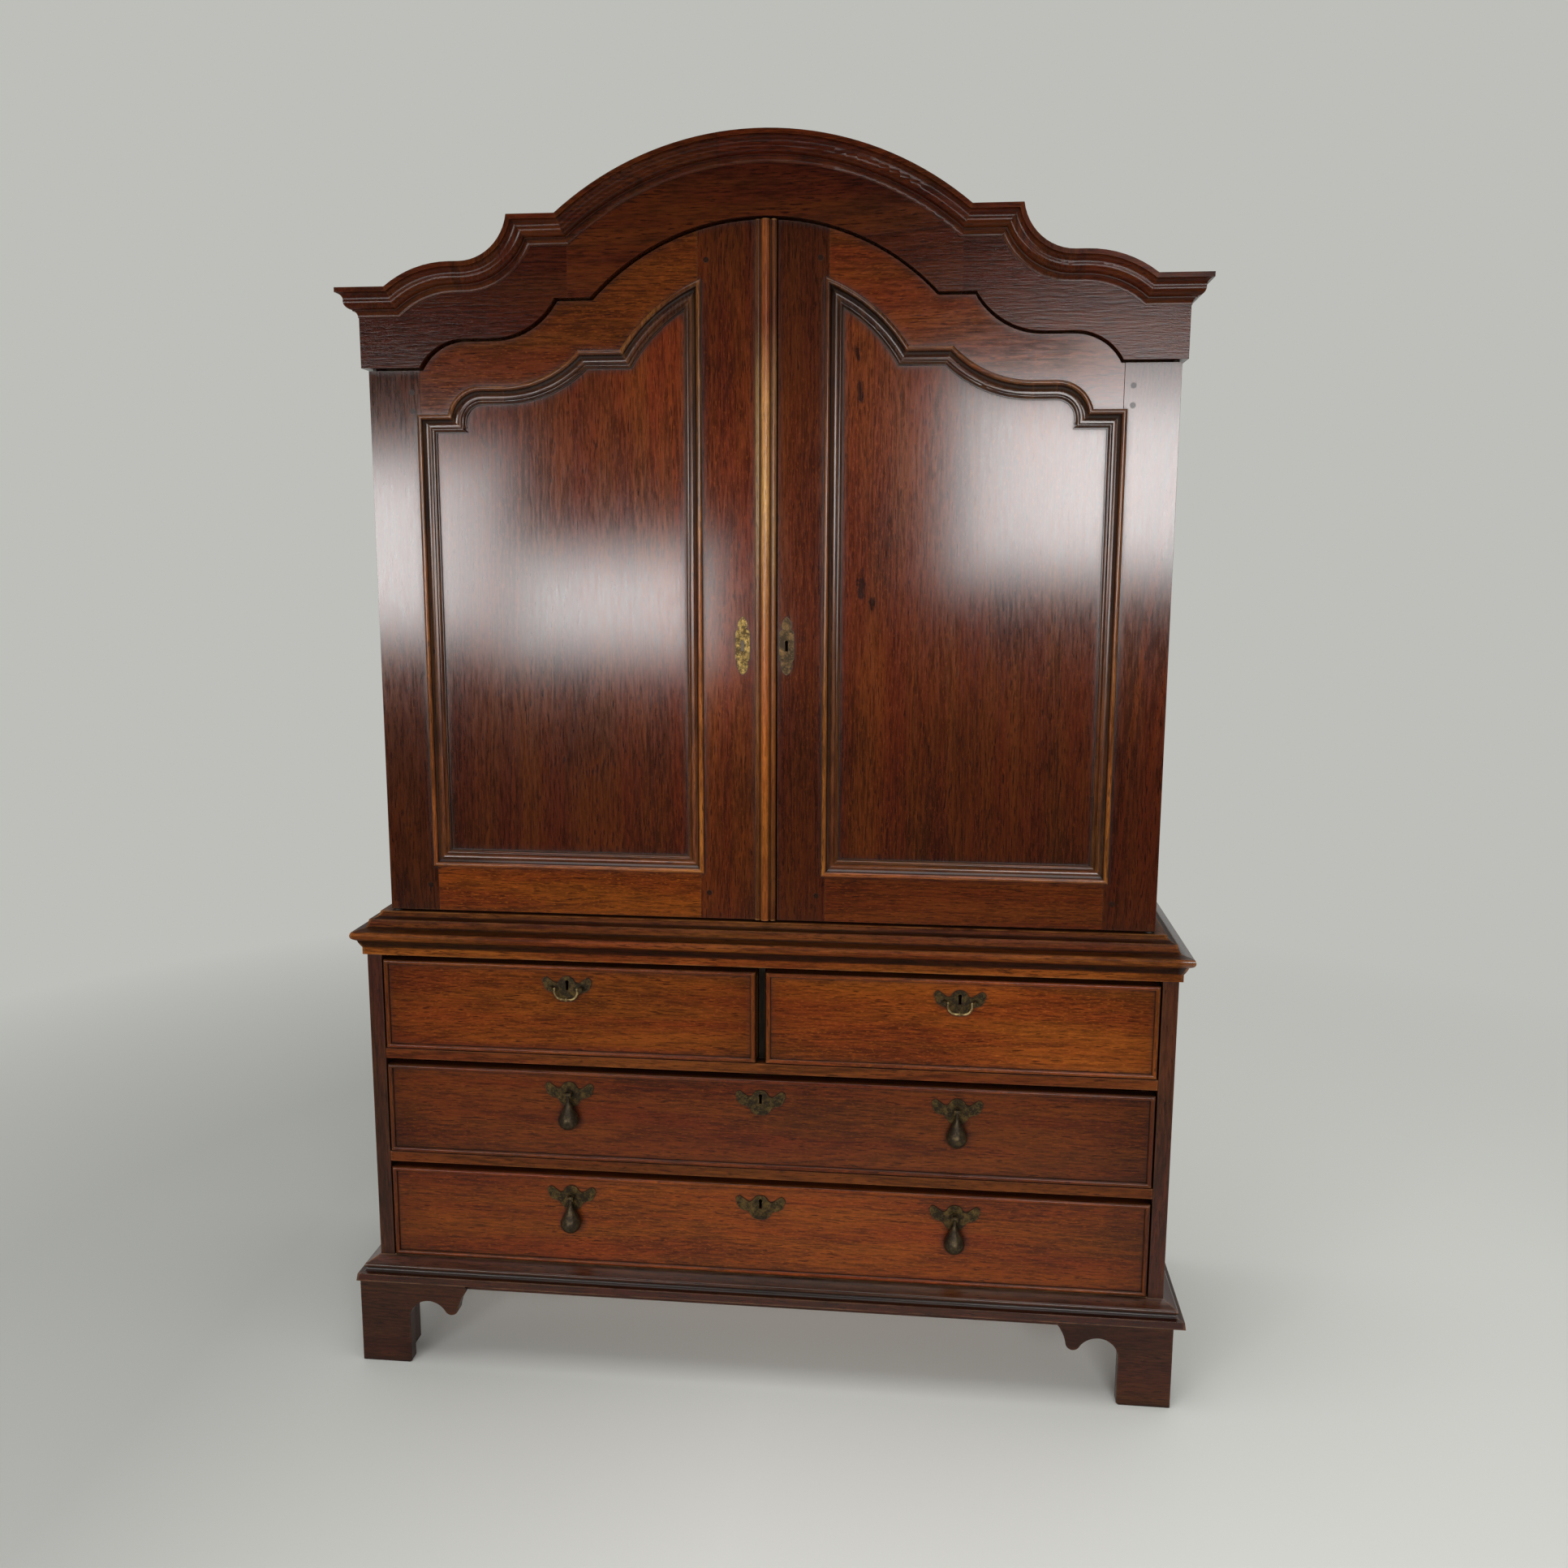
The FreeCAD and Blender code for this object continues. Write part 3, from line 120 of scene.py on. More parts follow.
def oak_group():
    """Oak in the board: rings about a pith outside it, fibres, open pores and ray flecks."""
    number, colour = "NodeSocketFloat", "NodeSocketColor"
    tree, given, put = group_of(
        "oak", {"Heart": colour, "Dark": colour, "Rings": number, "Mottle": number, "Fleck": number,
                "Boards": number, "Gold": number},
        {"Color": colour, "Roughness": number, "Height": number})
    # Noise scales per metre, the first along the grain
    wander_scale, cloud_scale, gold_scale = (0.9, 5.0, 5.0), (2.2, 8.0, 8.0), (1.7, 20.0, 20.0)
    fibre_scale, pore_scale = (24.0, 240.0, 240.0), (48.0, 440.0, 440.0)
    fleck_scale, ring_scale = (120.0, 420.0, 420.0), 260.0
    pith_aside, pith_below = 0.09, -0.05
    fibre_share, middle_tone, pore_share, fibre_rough = 3.4, 0.55, 0.75, 0.16
    along = add(tree, "ShaderNodeAttribute", attribute_name="grain").outputs["Vector"]
    board = add(tree, "ShaderNodeAttribute", attribute_name="board").outputs["Fac"]
    wander = noise(tree, stretch(tree, along, wander_scale)).outputs["Color"]
    wander = vector(tree, "SUBTRACT", wander, (0.5, 0.5, 0.5))
    line = vector(tree, "ADD", along, stretch(tree, wander, (0.0, 0.02, 0.02)))
    pith = joined(tree, y=span(tree, board, 0.0, 1.0, -pith_aside, pith_aside), z=pith_below)
    out = vector(tree, "SUBTRACT", stretch(tree, line, (0.03, 1.0, 1.0)), pith)
    ring = add(tree, "ShaderNodeTexNoise", {"W": length(tree, out), "Scale": ring_scale, "Detail": 2.0},
               noise_dimensions="1D").outputs[0]
    fibre = noise(tree, stretch(tree, line, fibre_scale), 4.0, 0.7).outputs[0]
    pore = noise(tree, stretch(tree, line, pore_scale), 1.0).outputs[0]
    pore = figure(tree, "MULTIPLY", span(tree, pore, 0.56, 0.66), span(tree, ring, 0.4, 0.56))
    cloud = noise(tree, stretch(tree, along, cloud_scale), 3.0, 0.55).outputs[0]
    fleck = noise(tree, stretch(tree, line, fleck_scale), 1.0).outputs[0]
    fleck = figure(tree, "MULTIPLY", span(tree, fleck, 0.58, 0.72), given.outputs["Fleck"])
    tone = figure(tree, "MULTIPLY", figure(tree, "SUBTRACT", ring, 0.5), given.outputs["Rings"])
    thread = figure(tree, "MULTIPLY", figure(tree, "SUBTRACT", fibre, 0.5), fibre_share)
    drift = figure(tree, "MULTIPLY", figure(tree, "SUBTRACT", cloud, 0.5), given.outputs["Mottle"])
    tone = figure(tree, "ADD", figure(tree, "ADD", tone, thread), drift)
    tone = figure(tree, "ADD", tone, middle_tone, True)
    wood = tint(tree, tone, given.outputs["Dark"], given.outputs["Heart"])
    shade = figure(tree, "MULTIPLY", figure(tree, "SUBTRACT", board, 0.5), given.outputs["Boards"])
    wood = scaled(tree, wood, figure(tree, "ADD", shade, 1.0))
    gold = span(tree, noise(tree, stretch(tree, along, gold_scale), 3.0, 0.6).outputs[0], 0.4, 0.62)
    streak = tint(tree, gold, (0.93, 0.80, 0.88, 1.0), (1.12, 1.32, 1.06, 1.0))
    wood = tint(tree, given.outputs["Gold"], wood, streak, "MULTIPLY")
    light = stretch(tree, given.outputs["Heart"], (1.75, 2.1, 1.7))
    deep = scaled(tree, given.outputs["Dark"], 0.35)
    wood = tint(tree, fleck, wood, light)
    wood = tint(tree, figure(tree, "MULTIPLY", pore, pore_share), wood, deep)
    tree.links.new(wood, put.inputs["Color"])
    tree.links.new(figure(tree, "MULTIPLY", fibre, fibre_rough), put.inputs["Roughness"])
    tree.links.new(fibre, put.inputs["Height"])
    return tree


def age_group():
    """Two hundred years of hands: polish rubbed thin on the arrises; wax, dust and painted shade in the
    hollows.
    """
    number = "NodeSocketFloat"
    tree, given, put = group_of("age", {"Edge width": number, "Hollow width": number},
                                {"Edge": number, "Hollow": number})
    patch_scale = (22.0, 22.0, 22.0)
    rays = 6
    patchy = noise(tree, stretch(tree, place_of(tree), patch_scale), 3.0, 0.6).outputs[0]
    inside = add(tree, "ShaderNodeAmbientOcclusion", {"Distance": given.outputs["Edge width"]},
                 samples=rays, inside=True, only_local=True).outputs["AO"]
    edge = figure(tree, "MULTIPLY", span(tree, inside, 0.85, 0.5), span(tree, patchy, 0.35, 0.6))
    tree.links.new(edge, put.inputs["Edge"])
    # Hollows: wax and dust, and painted shade where they are enclosed
    outside = add(tree, "ShaderNodeAmbientOcclusion", {"Distance": given.outputs["Hollow width"]},
                  samples=rays).outputs["AO"]
    tree.links.new(span(tree, outside, 0.95, 0.42), put.inputs["Hollow"])
    return tree


def nail_group():
    """Iron nails driven through upright back boards into the boards behind, with rust about them."""
    number = "NodeSocketFloat"
    tree, given, put = group_of("nails", {"Board width": number, "Shift": number, "Inset": number},
                                {"Head": number, "Rust": number})
    nail_rows = (0.197, 0.818, 0.856, 1.201, 1.491, 1.771, 1.96)
    head_outer, head_inner = 0.0046, 0.0038
    rust_outer, rust_inner, rust_share = 0.015, 0.004, 0.65
    back_inner_y, back_outer_y = 0.296, 0.297
    x, y, z = parts(tree, place_of(tree))
    board = figure(tree, "ADD", figure(tree, "DIVIDE", x, given.outputs["Board width"]),
                   given.outputs["Shift"])
    across = figure(tree, "FRACT", board)
    to_edge = figure(tree, "MINIMUM", across, figure(tree, "SUBTRACT", 1.0, across))
    to_edge = figure(tree, "MULTIPLY", to_edge, given.outputs["Board width"])
    aside = figure(tree, "ABSOLUTE", figure(tree, "SUBTRACT", to_edge, given.outputs["Inset"]))
    above = 1.0
    for row in nail_rows:
        above = figure(tree, "MINIMUM", above, figure(tree, "ABSOLUTE", figure(tree, "SUBTRACT", z, row)))
    away = length(tree, joined(tree, aside, above))
    outside = span(tree, y, back_inner_y, back_outer_y)
    head = span(tree, away, head_outer, head_inner)
    rust = span(tree, away, rust_outer, rust_inner, 0.0, rust_share)
    tree.links.new(figure(tree, "MULTIPLY", head, outside), put.inputs["Head"])
    tree.links.new(figure(tree, "MULTIPLY", rust, outside), put.inputs["Rust"])
    return tree


oak = oak_group()
age = age_group()
nails = nail_group()


def bare_material(name):
    """A material with nothing in its tree yet."""
    material = bpy.data.materials.new(name)
    material.use_nodes = True
    material.node_tree.nodes.clear()
    return material, material.node_tree


def fade_and_painted_light(tree, ground, bands):
    """Fades a colour and paints light and shade into it; each band gives an axis and how strong the colour is
    at places along it.
    """
    for axis, steps in bands:
        first, last = steps[0][0], steps[-1][0]
        along = parts(tree, place_of(tree))[axis]
        ramp = add(tree, "ShaderNodeValToRGB", {0: span(tree, along, first, last)})
        tones = ramp.color_ramp.elements
        while len(tones) < len(steps):
            tones.new(0.5)
        for tone, (at, *strength) in zip(tones, steps):
            tone.position = (at - first) / (last - first)
            tone.color = (*strength, 1.0) if len(strength) == 3 else (*strength * 3, 1.0)
        ground = tint(tree, 1.0, ground, ramp.outputs[0], "MULTIPLY")
    return ground


def knotted(tree, ground, knots, dark):
    """Draws dark knots in a board; each gives its middle and its half size in x and z."""
    swirl_scale, swirl_reach = (130.0, 0.0, 60.0), 0.6
    knot_rim, knot_core, knot_share, knot_shade = 1.1, 0.5, 0.8, 0.3
    for x, z, wide, tall in knots:
        place = place_of(tree)
        swirl = noise(tree, stretch(tree, place, swirl_scale), 3.0, 0.6).outputs[0]
        aside = vector(tree, "SUBTRACT", place, (x, 0.0, z))
        away = length(tree, stretch(tree, aside, (1.0 / wide, 0.0, 1.0 / tall)))
        away = figure(tree, "ADD", away, span(tree, swirl, 0.3, 0.7, -swirl_reach, swirl_reach))
        ground = tint(tree, span(tree, away, knot_rim, knot_core, 0.0, knot_share), ground,
                      (*[tone * knot_shade for tone in dark], 1.0))
    return ground


def oak_finish(name, heart, dark, worn, gloss=0.3, rings=1.6, mottle=2.0, fleck=0.15, boards=0.35,
               edge=0.6, hollow=0.75, specular=0.3, relief=0.15, gold=1.0, bands=(), nailed=(), knots=(),
               waxed=()):
    """A polish over oak, with bands and knots as above; nailed gives the width of the nailed boards and
    their shift in boards, and waxed the places in x between which a coat of wax begins."""
    edge_width, hollow_width, nail_inset = 0.004, 0.014, 0.035
    mean_fibre_rough, grime_rough, wax_rough, relief_depth = 0.08, 0.3, 0.2, 0.0004
    black_wax_and_shade, rust, nail_iron = (0.006, 0.003, 0.002), (0.05, 0.026, 0.016), (0.028, 0.024, 0.022)
    material, tree = bare_material(name)
    wood = add(tree, "ShaderNodeGroup", {"Heart": (*heart, 1.0), "Dark": (*dark, 1.0), "Rings": rings,
                                         "Mottle": mottle, "Fleck": fleck, "Boards": boards, "Gold": gold},
               node_tree=oak)
    ground = fade_and_painted_light(tree, wood.outputs["Color"], bands)
    ground = knotted(tree, ground, knots, dark)
    years = add(tree, "ShaderNodeGroup", node_tree=age)
    years.inputs["Edge width"].default_value = edge_width
    years.inputs["Hollow width"].default_value = hollow_width
    # The hollows are darkened with black wax and painted shade
    wax_and_shade = figure(tree, "MULTIPLY", years.outputs["Hollow"], hollow)
    rubbed = figure(tree, "MULTIPLY", years.outputs["Edge"], edge)
    colour = tint(tree, rubbed, ground, (*worn, 1.0))
    colour = tint(tree, wax_and_shade, colour, (*black_wax_and_shade, 1.0))
    if nailed:
        driven = add(tree, "ShaderNodeGroup", {0: nailed[0], 1: nailed[1], 2: nail_inset}, node_tree=nails)
        colour = tint(tree, driven.outputs["Rust"], colour, (*rust, 1.0))
        colour = tint(tree, driven.outputs["Head"], colour, (*nail_iron, 1.0))
    rough = figure(tree, "ADD", wood.outputs["Roughness"], gloss - mean_fibre_rough)
    rough = figure(tree, "ADD", rough, figure(tree, "MULTIPLY", wax_and_shade, grime_rough))
    bump = add(tree, "ShaderNodeBump", {"Strength": relief, "Distance": relief_depth,
                                        "Height": wood.outputs["Height"]})
    shell = add(tree, "ShaderNodeBsdfPrincipled", {"Base Color": colour, "Roughness": rough,
                                                   "Specular IOR Level": specular,
                                                   "Normal": bump.outputs[0]})
    if waxed:
        sideways = parts(tree, place_of(tree))[0]
        tree.links.new(span(tree, sideways, *waxed), shell.inputs["Coat Weight"])
        shell.inputs["Coat Roughness"].default_value = wax_rough
    add(tree, "ShaderNodeOutputMaterial", {"Surface": shell.outputs[0]})
    return material


def weld_tree():
    """Joins a solid's loose facets into a closed skin and marks its true corners."""
    shape, number = "NodeSocketGeometry", "NodeSocketFloat"
    tree, given, put = group_of("weld", {"Geometry": shape, "Weld": number, "Corner": number},
                                {"Geometry": shape}, "GeometryNodeTree")
    skin = add(tree, "GeometryNodeMergeByDistance", {0: given.outputs[0], "Distance": given.outputs[1]})
    shared = add(tree, "GeometryNodeInputMeshEdgeNeighbors").outputs[0]
    crowded = add(tree, "FunctionNodeCompare", {2: shared, 3: 2}, data_type="INT",
                  operation="GREATER_THAN").outputs[0]
    skin = add(tree, "GeometryNodeSplitEdges", {0: skin.outputs[0], 1: crowded})
    skin = add(tree, "GeometryNodeSetShadeSmooth", {0: skin.outputs[0], 2: True})
    angle = add(tree, "GeometryNodeInputMeshEdgeAngle").outputs[0]
    corner = add(tree, "FunctionNodeCompare", {0: angle, 1: given.outputs[2]}, data_type="FLOAT",
                 operation="GREATER_THAN").outputs[0]
    skin = add(tree, "GeometryNodeSetMeshNormal", {0: skin.outputs[0], 1: True, 2: corner}, mode="SHARPNESS")
    tree.links.new(skin.outputs[0], put.inputs[0])
    return tree


def grain_tree():
    """Tells each board which way its grain runs and which piece of the tree it was cut from."""
    shape = "NodeSocketGeometry"
    tree, given, put = group_of("lay of the grain", {"Geometry": shape, "Spread": "NodeSocketFloat"},
                                {"Geometry": shape}, "GeometryNodeTree")
    seat_step = (0.02, 0.02, 0.02)
    place = add(tree, "GeometryNodeInputPosition").outputs[0]
    island = add(tree, "GeometryNodeInputMeshIsland").outputs[0]
    low, high = add(tree, "GeometryNodeFieldMinAndMax", {"Value": place, "Group ID": island},
                    data_type="FLOAT_VECTOR", domain="POINT").outputs
    middle = scaled(tree, vector(tree, "ADD", high, low), 0.5)
    x, y, z = parts(tree, vector(tree, "SUBTRACT", place, middle))
    wide, deep, tall = parts(tree, vector(tree, "SUBTRACT", high, low))
    upright = joined(tree, z, x, y)
    fore = joined(tree, y, x, z)
    across = joined(tree, x, z, y)
    is_fore = figure(tree, "GREATER_THAN", deep, wide)
    flat = add(tree, "GeometryNodeSwitch", {0: is_fore, 1: across, 2: fore}, input_type="VECTOR").outputs[0]
    is_tall = figure(tree, "GREATER_THAN", tall, figure(tree, "MAXIMUM", wide, deep))
    along = add(tree, "GeometryNodeSwitch", {0: is_tall, 1: flat, 2: upright}, input_type="VECTOR").outputs[0]
    chance = add(tree, "ShaderNodeTexWhiteNoise", {"Vector": vector(tree, "SNAP", middle, seat_step)})
    # The spread runs along the board only, so that the pith stays beside the board
    away = stretch(tree, scaled(tree, chance.outputs["Color"], given.outputs[1]), (1.0, 0.0, 0.0))
    kept = add(tree, "GeometryNodeStoreNamedAttribute", {0: given.outputs[0], "Name": "grain"},
               data_type="FLOAT_VECTOR", domain="POINT")
    tree.links.new(vector(tree, "ADD", along, away), kept.inputs[3])
    tone = add(tree, "GeometryNodeStoreNamedAttribute", {0: kept.outputs[0], "Name": "board"},
               data_type="FLOAT", domain="POINT")
    tree.links.new(chance.outputs["Value"], tone.inputs[3])
    tree.links.new(tone.outputs[0], put.inputs[0])
    return tree


weld = weld_tree()
lay = grain_tree()


def given_id(tree, name):
    """The identifier of a tree's named input."""
    return [socket.identifier for socket in tree.interface.items_tree
            if socket.in_out == "INPUT" and socket.name == name][0]


def eased(node, width):
    """Welds a node's skin, eases its arrises and lays its grain."""
    weld_reach, grain_spread = 0.00002, 9.0
    corner_turn, flat_turn, arris_turn = math.radians(40), math.radians(0.6), math.radians(30)
    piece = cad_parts[node]
    skin = piece.modifiers.new("skin", "NODES")
    skin.node_group = weld
    skin[given_id(weld, "Weld")] = weld_reach
    skin[given_id(weld, "Corner")] = corner_turn
    planes = piece.modifiers.new("planes", "DECIMATE")
    planes.decimate_type = "DISSOLVE"
    planes.angle_limit = flat_turn
    arris = piece.modifiers.new("arris", "BEVEL")
    arris.width = width
    arris.segments = 2
    arris.limit_method = "ANGLE"
    arris.angle_limit = arris_turn
    arris.use_clamp_overlap = True
    arris.harden_normals = True
    grain = piece.modifiers.new("grain", "NODES")
    grain.node_group = lay
    grain[given_id(lay, "Spread")] = grain_spread
    return piece


def finish_nodes(material, width, *names):
    """Gives CAD nodes their eased arrises and their polish."""
    for name in names:
        piece = eased(name, width)
        piece.data.materials.clear()
        piece.data.materials.append(material)


side_arris, board_arris, back_arris = 0.0012, 0.0008, 0.0015
chest_back_board = 0.24667
side_oak = oak_finish("side_oak", heart=(0.07, 0.0175, 0.006), dark=(0.026, 0.007, 0.003),
                      worn=(0.15, 0.05, 0.017))
bare_oak = oak_finish("bare_oak", heart=(0.31, 0.175, 0.085), dark=(0.145, 0.072, 0.032),
                      worn=(0.33, 0.21, 0.11), gloss=0.6, specular=0.2, edge=0.3, hollow=0.5, gold=0.3)
dusty = {"heart": (0.175, 0.092, 0.045), "dark": (0.08, 0.04, 0.02), "worn": (0.21, 0.12, 0.062),
         "gloss": 0.65, "specular": 0.15, "edge": 0.4, "hollow": 0.6, "boards": 0.7, "gold": 0.25}
chest_back_oak = oak_finish("chest_back_oak", nailed=(chest_back_board, 0.0), **dusty)
finish_nodes(side_oak, side_arris, "lower_sides")
finish_nodes(bare_oak, board_arris, "lower_case_boards", "drawer_runners")
finish_nodes(chest_back_oak, back_arris, "lower_back_boards")

# Drawer rails and muntin: oak rails between the sides, and an upright set well back between the two
# short drawers, painted near black as the shade in its recess.
rail_arris = 0.0012
rail_face_y, muntin_face_y = -0.256, -0.244
# The muntin's face behind the rails is painted near black and bluish: painted shade
rail_oak = oak_finish("rail_oak", heart=(0.138, 0.032, 0.0075), dark=(0.05, 0.012, 0.0033),
                      worn=(0.30, 0.11, 0.036), specular=0.14,
                      bands=((1, ((rail_face_y, 1.0), (muntin_face_y, 0.16, 0.45, 1.0))),))
finish_nodes(rail_oak, rail_arris, "drawer_rails")

# Base moulding and bracket feet: oak round the foot of the chest, with scrolled brackets at the corners
# over glue blocks. Boots and mops have dulled and darkened them; the moulding's bead and the slope above
# it are pale, partly rubbed and partly painted highlight and reflection.
foot_arris = 0.0015
foot_oak = oak_finish("foot_oak", heart=(0.055, 0.0145, 0.006), dark=(0.022, 0.006, 0.0028),
                      worn=(0.17, 0.075, 0.034), gloss=0.34, specular=0.25)
# Bands up the profile: the slope's pale grey and the bright bead are painted highlight and reflection as well
# as rubbing; the quirk under the nose is painted darker as shade
base_wear_and_light = ((0.166, 1.25, 1.0, 0.9), (0.1795, 1.15, 0.95, 0.9), (0.181, 0.7), (0.1865, 0.9), (0.189, 1.3),
              (0.1945, 1.3), (0.1975, 1.35), (0.2025, 2.0, 2.2, 2.3), (0.2055, 1.0))
base_oak = oak_finish("base_oak", heart=(0.043, 0.0118, 0.005), dark=(0.017, 0.005, 0.0024),
                      worn=(0.23, 0.115, 0.058), gloss=0.2, specular=0.38, edge=0.6,
                      bands=((2, base_wear_and_light),))
finish_nodes(foot_oak, foot_arris, "bracket_feet")
finish_nodes(base_oak, foot_arris, "base_moulding")

# Drawers: four oak boxes, their fronts edged by a mitred bead with a dark line beside it, black wax and
# painted shade, the grain running across. The fronts are faded to red and gold, darker at their ends; the
# rest of each box is bare oak.
front_arris, box_arris = 0.0007, 0.0008
front_polish = {"specular": 0.22, "gloss": 0.22, "relief": 0.08, "fleck": 0.4, "mottle": 2.1, "boards": 0.08,
                "rings": 1.3, "edge": 0.2, "hollow": 1.0}
# Across the bead: a dark line beside the field, black wax and painted shade in the groove
bead_wax_and_shade = (1, ((-0.266, 1.05), (-0.2648, 0.9), (-0.2637, 0.35), (-0.2612, 0.25), (-0.26105, 1.0)))
left_ends = (0, ((-0.705, 0.72), (-0.63, 1.0), (-0.10, 1.0), (-0.02, 0.75)))
right_ends = (0, ((0.02, 0.7), (0.08, 0.84), (0.28, 0.87), (0.42, 1.0), (0.62, 1.0), (0.705, 0.7)))
middle_ends = (0, ((-0.705, 0.72), (-0.62, 1.0), (0.58, 1.0), (0.705, 0.66)))
lowest_ends = (0, ((-0.705, 0.6), (-0.6, 0.8), (-0.43, 0.84), (-0.3, 1.03), (0.3, 1.03), (0.5, 0.89),
                   (0.62, 0.86), (0.705, 0.6)))
fronts = {
    "short_drawer_left": ("top_left_front", (0.181, 0.0365, 0.0055), (0.065, 0.0135, 0.0027),
                          (0.34, 0.125, 0.033), left_ends),
    "short_drawer_right": ("top_right_front", (0.25, 0.052, 0.0072), (0.092, 0.0195, 0.0036),
                           (0.38, 0.145, 0.037), right_ends),
    "upper_long_drawer": ("middle_front", (0.133, 0.0256, 0.005), (0.0485, 0.01, 0.0028),
                          (0.28, 0.105, 0.03), middle_ends),
    "lower_long_drawer": ("lowest_front", (0.204, 0.039, 0.0052), (0.074, 0.015, 0.0026),
                          (0.33, 0.118, 0.032), lowest_ends)}
for drawer, (name, heart, dark, worn, ends) in fronts.items():
    front_oak = oak_finish(name, heart, dark, worn, bands=(ends, bead_wax_and_shade), **front_polish)
    finish_nodes(front_oak, front_arris, drawer + "_front")
    finish_nodes(bare_oak, box_arris, drawer + "_box")

# Drawer brasses: cast winged plates gone brown, some with a keyhole, with a bail or pear drops hung on
# posts and a lock behind the front that throws an iron bolt. Pins hold the plates and screws the locks.


def brass_group():
    """Old brass: rubbed metal through brown tarnish, darker in the hollows with black wax and painted shade.
    """
    number, colour = "NodeSocketFloat", "NodeSocketColor"
    tree, given, put = group_of("old brass", {"Metal": colour, "Tarnish": colour, "Rubbed": number},
                                {"Color": colour, "Roughness": number, "Height": number})
    blotch_scale, fine_scale = (90.0, 90.0, 90.0), (420.0, 420.0, 420.0)
    edge_width, hollow_width = 0.0013, 0.008
    edge_share, fine_share, hollow_share, fine_height = 0.7, 0.6, 0.8, 0.4
    tarnished_rough, rubbed_rough = 0.52, 0.3
    black_wax_and_shade = (0.01, 0.008, 0.005, 1.0)
    place = place_of(tree)
    blotch = noise(tree, stretch(tree, place, blotch_scale), 4.0, 0.65).outputs[0]
    fine = noise(tree, stretch(tree, place, fine_scale), 2.0).outputs[0]
    years = add(tree, "ShaderNodeGroup", {0: edge_width, 1: hollow_width}, node_tree=age)
    rubbed_edge = figure(tree, "MULTIPLY", years.outputs["Edge"], edge_share)
    bright = figure(tree, "ADD", span(tree, blotch, 0.45, 0.66), rubbed_edge)
    bright = figure(tree, "ADD", bright, span(tree, fine, 0.55, 0.68, 0.0, fine_share))
    bright = figure(tree, "MULTIPLY", bright, given.outputs["Rubbed"], True)
    skin = tint(tree, bright, given.outputs["Tarnish"], given.outputs["Metal"])
    # Painted shade and black wax in the hollows
    skin = tint(tree, figure(tree, "MULTIPLY", years.outputs["Hollow"], hollow_share), skin, black_wax_and_shade)
    lumps = figure(tree, "ADD", blotch, figure(tree, "MULTIPLY", fine, fine_height))
    tree.links.new(skin, put.inputs["Color"])
    tree.links.new(span(tree, bright, 0.0, 1.0, tarnished_rough, rubbed_rough), put.inputs["Roughness"])
    tree.links.new(lumps, put.inputs["Height"])
    return tree


old_brass = brass_group()


def metal_finish(name, metal, tarnish, rubbed, metallic, relief=0.3):
    """Worn metal; relief is how lumpy the casting is."""
    lump_depth = 0.0005
    material, tree = bare_material(name)
    years = add(tree, "ShaderNodeGroup", {0: (*metal, 1.0), 1: (*tarnish, 1.0), 2: rubbed},
                node_tree=old_brass)
    bump = add(tree, "ShaderNodeBump", {"Strength": relief, "Distance": lump_depth,
                                        "Height": years.outputs["Height"]})
    shell = add(tree, "ShaderNodeBsdfPrincipled", {
        "Base Color": years.outputs["Color"], "Roughness": years.outputs["Roughness"],
        "Metallic": metallic, "Normal": bump.outputs[0]})
    add(tree, "ShaderNodeOutputMaterial", {"Surface": shell.outputs[0]})
    return material


brass_arris = 0.0004
brown_brass = metal_finish("brown_brass", (0.205, 0.123, 0.032), (0.023, 0.0148, 0.006), 0.5, 0.7)
drop_brass = metal_finish("drop_brass", (0.13, 0.085, 0.034), (0.026, 0.017, 0.0085), 0.5, 0.7)
handled_brass = metal_finish("handled_brass", (0.55, 0.40, 0.17), (0.14, 0.09, 0.034), 0.9, 0.75)
iron = metal_finish("iron", (0.14, 0.125, 0.115), (0.045, 0.03, 0.022), 0.6, 0.6)
for drawer in fronts:
    finish_nodes(brown_brass, brass_arris, drawer + "_brasses")
    if drawer.startswith("short"):
        finish_nodes(handled_brass, brass_arris, drawer + "_bail")
    else:
        finish_nodes(drop_brass, brass_arris, drawer + "_left_drop", drawer + "_right_drop")
    finish_nodes(iron, brass_arris, drawer + "_lock_bolt")


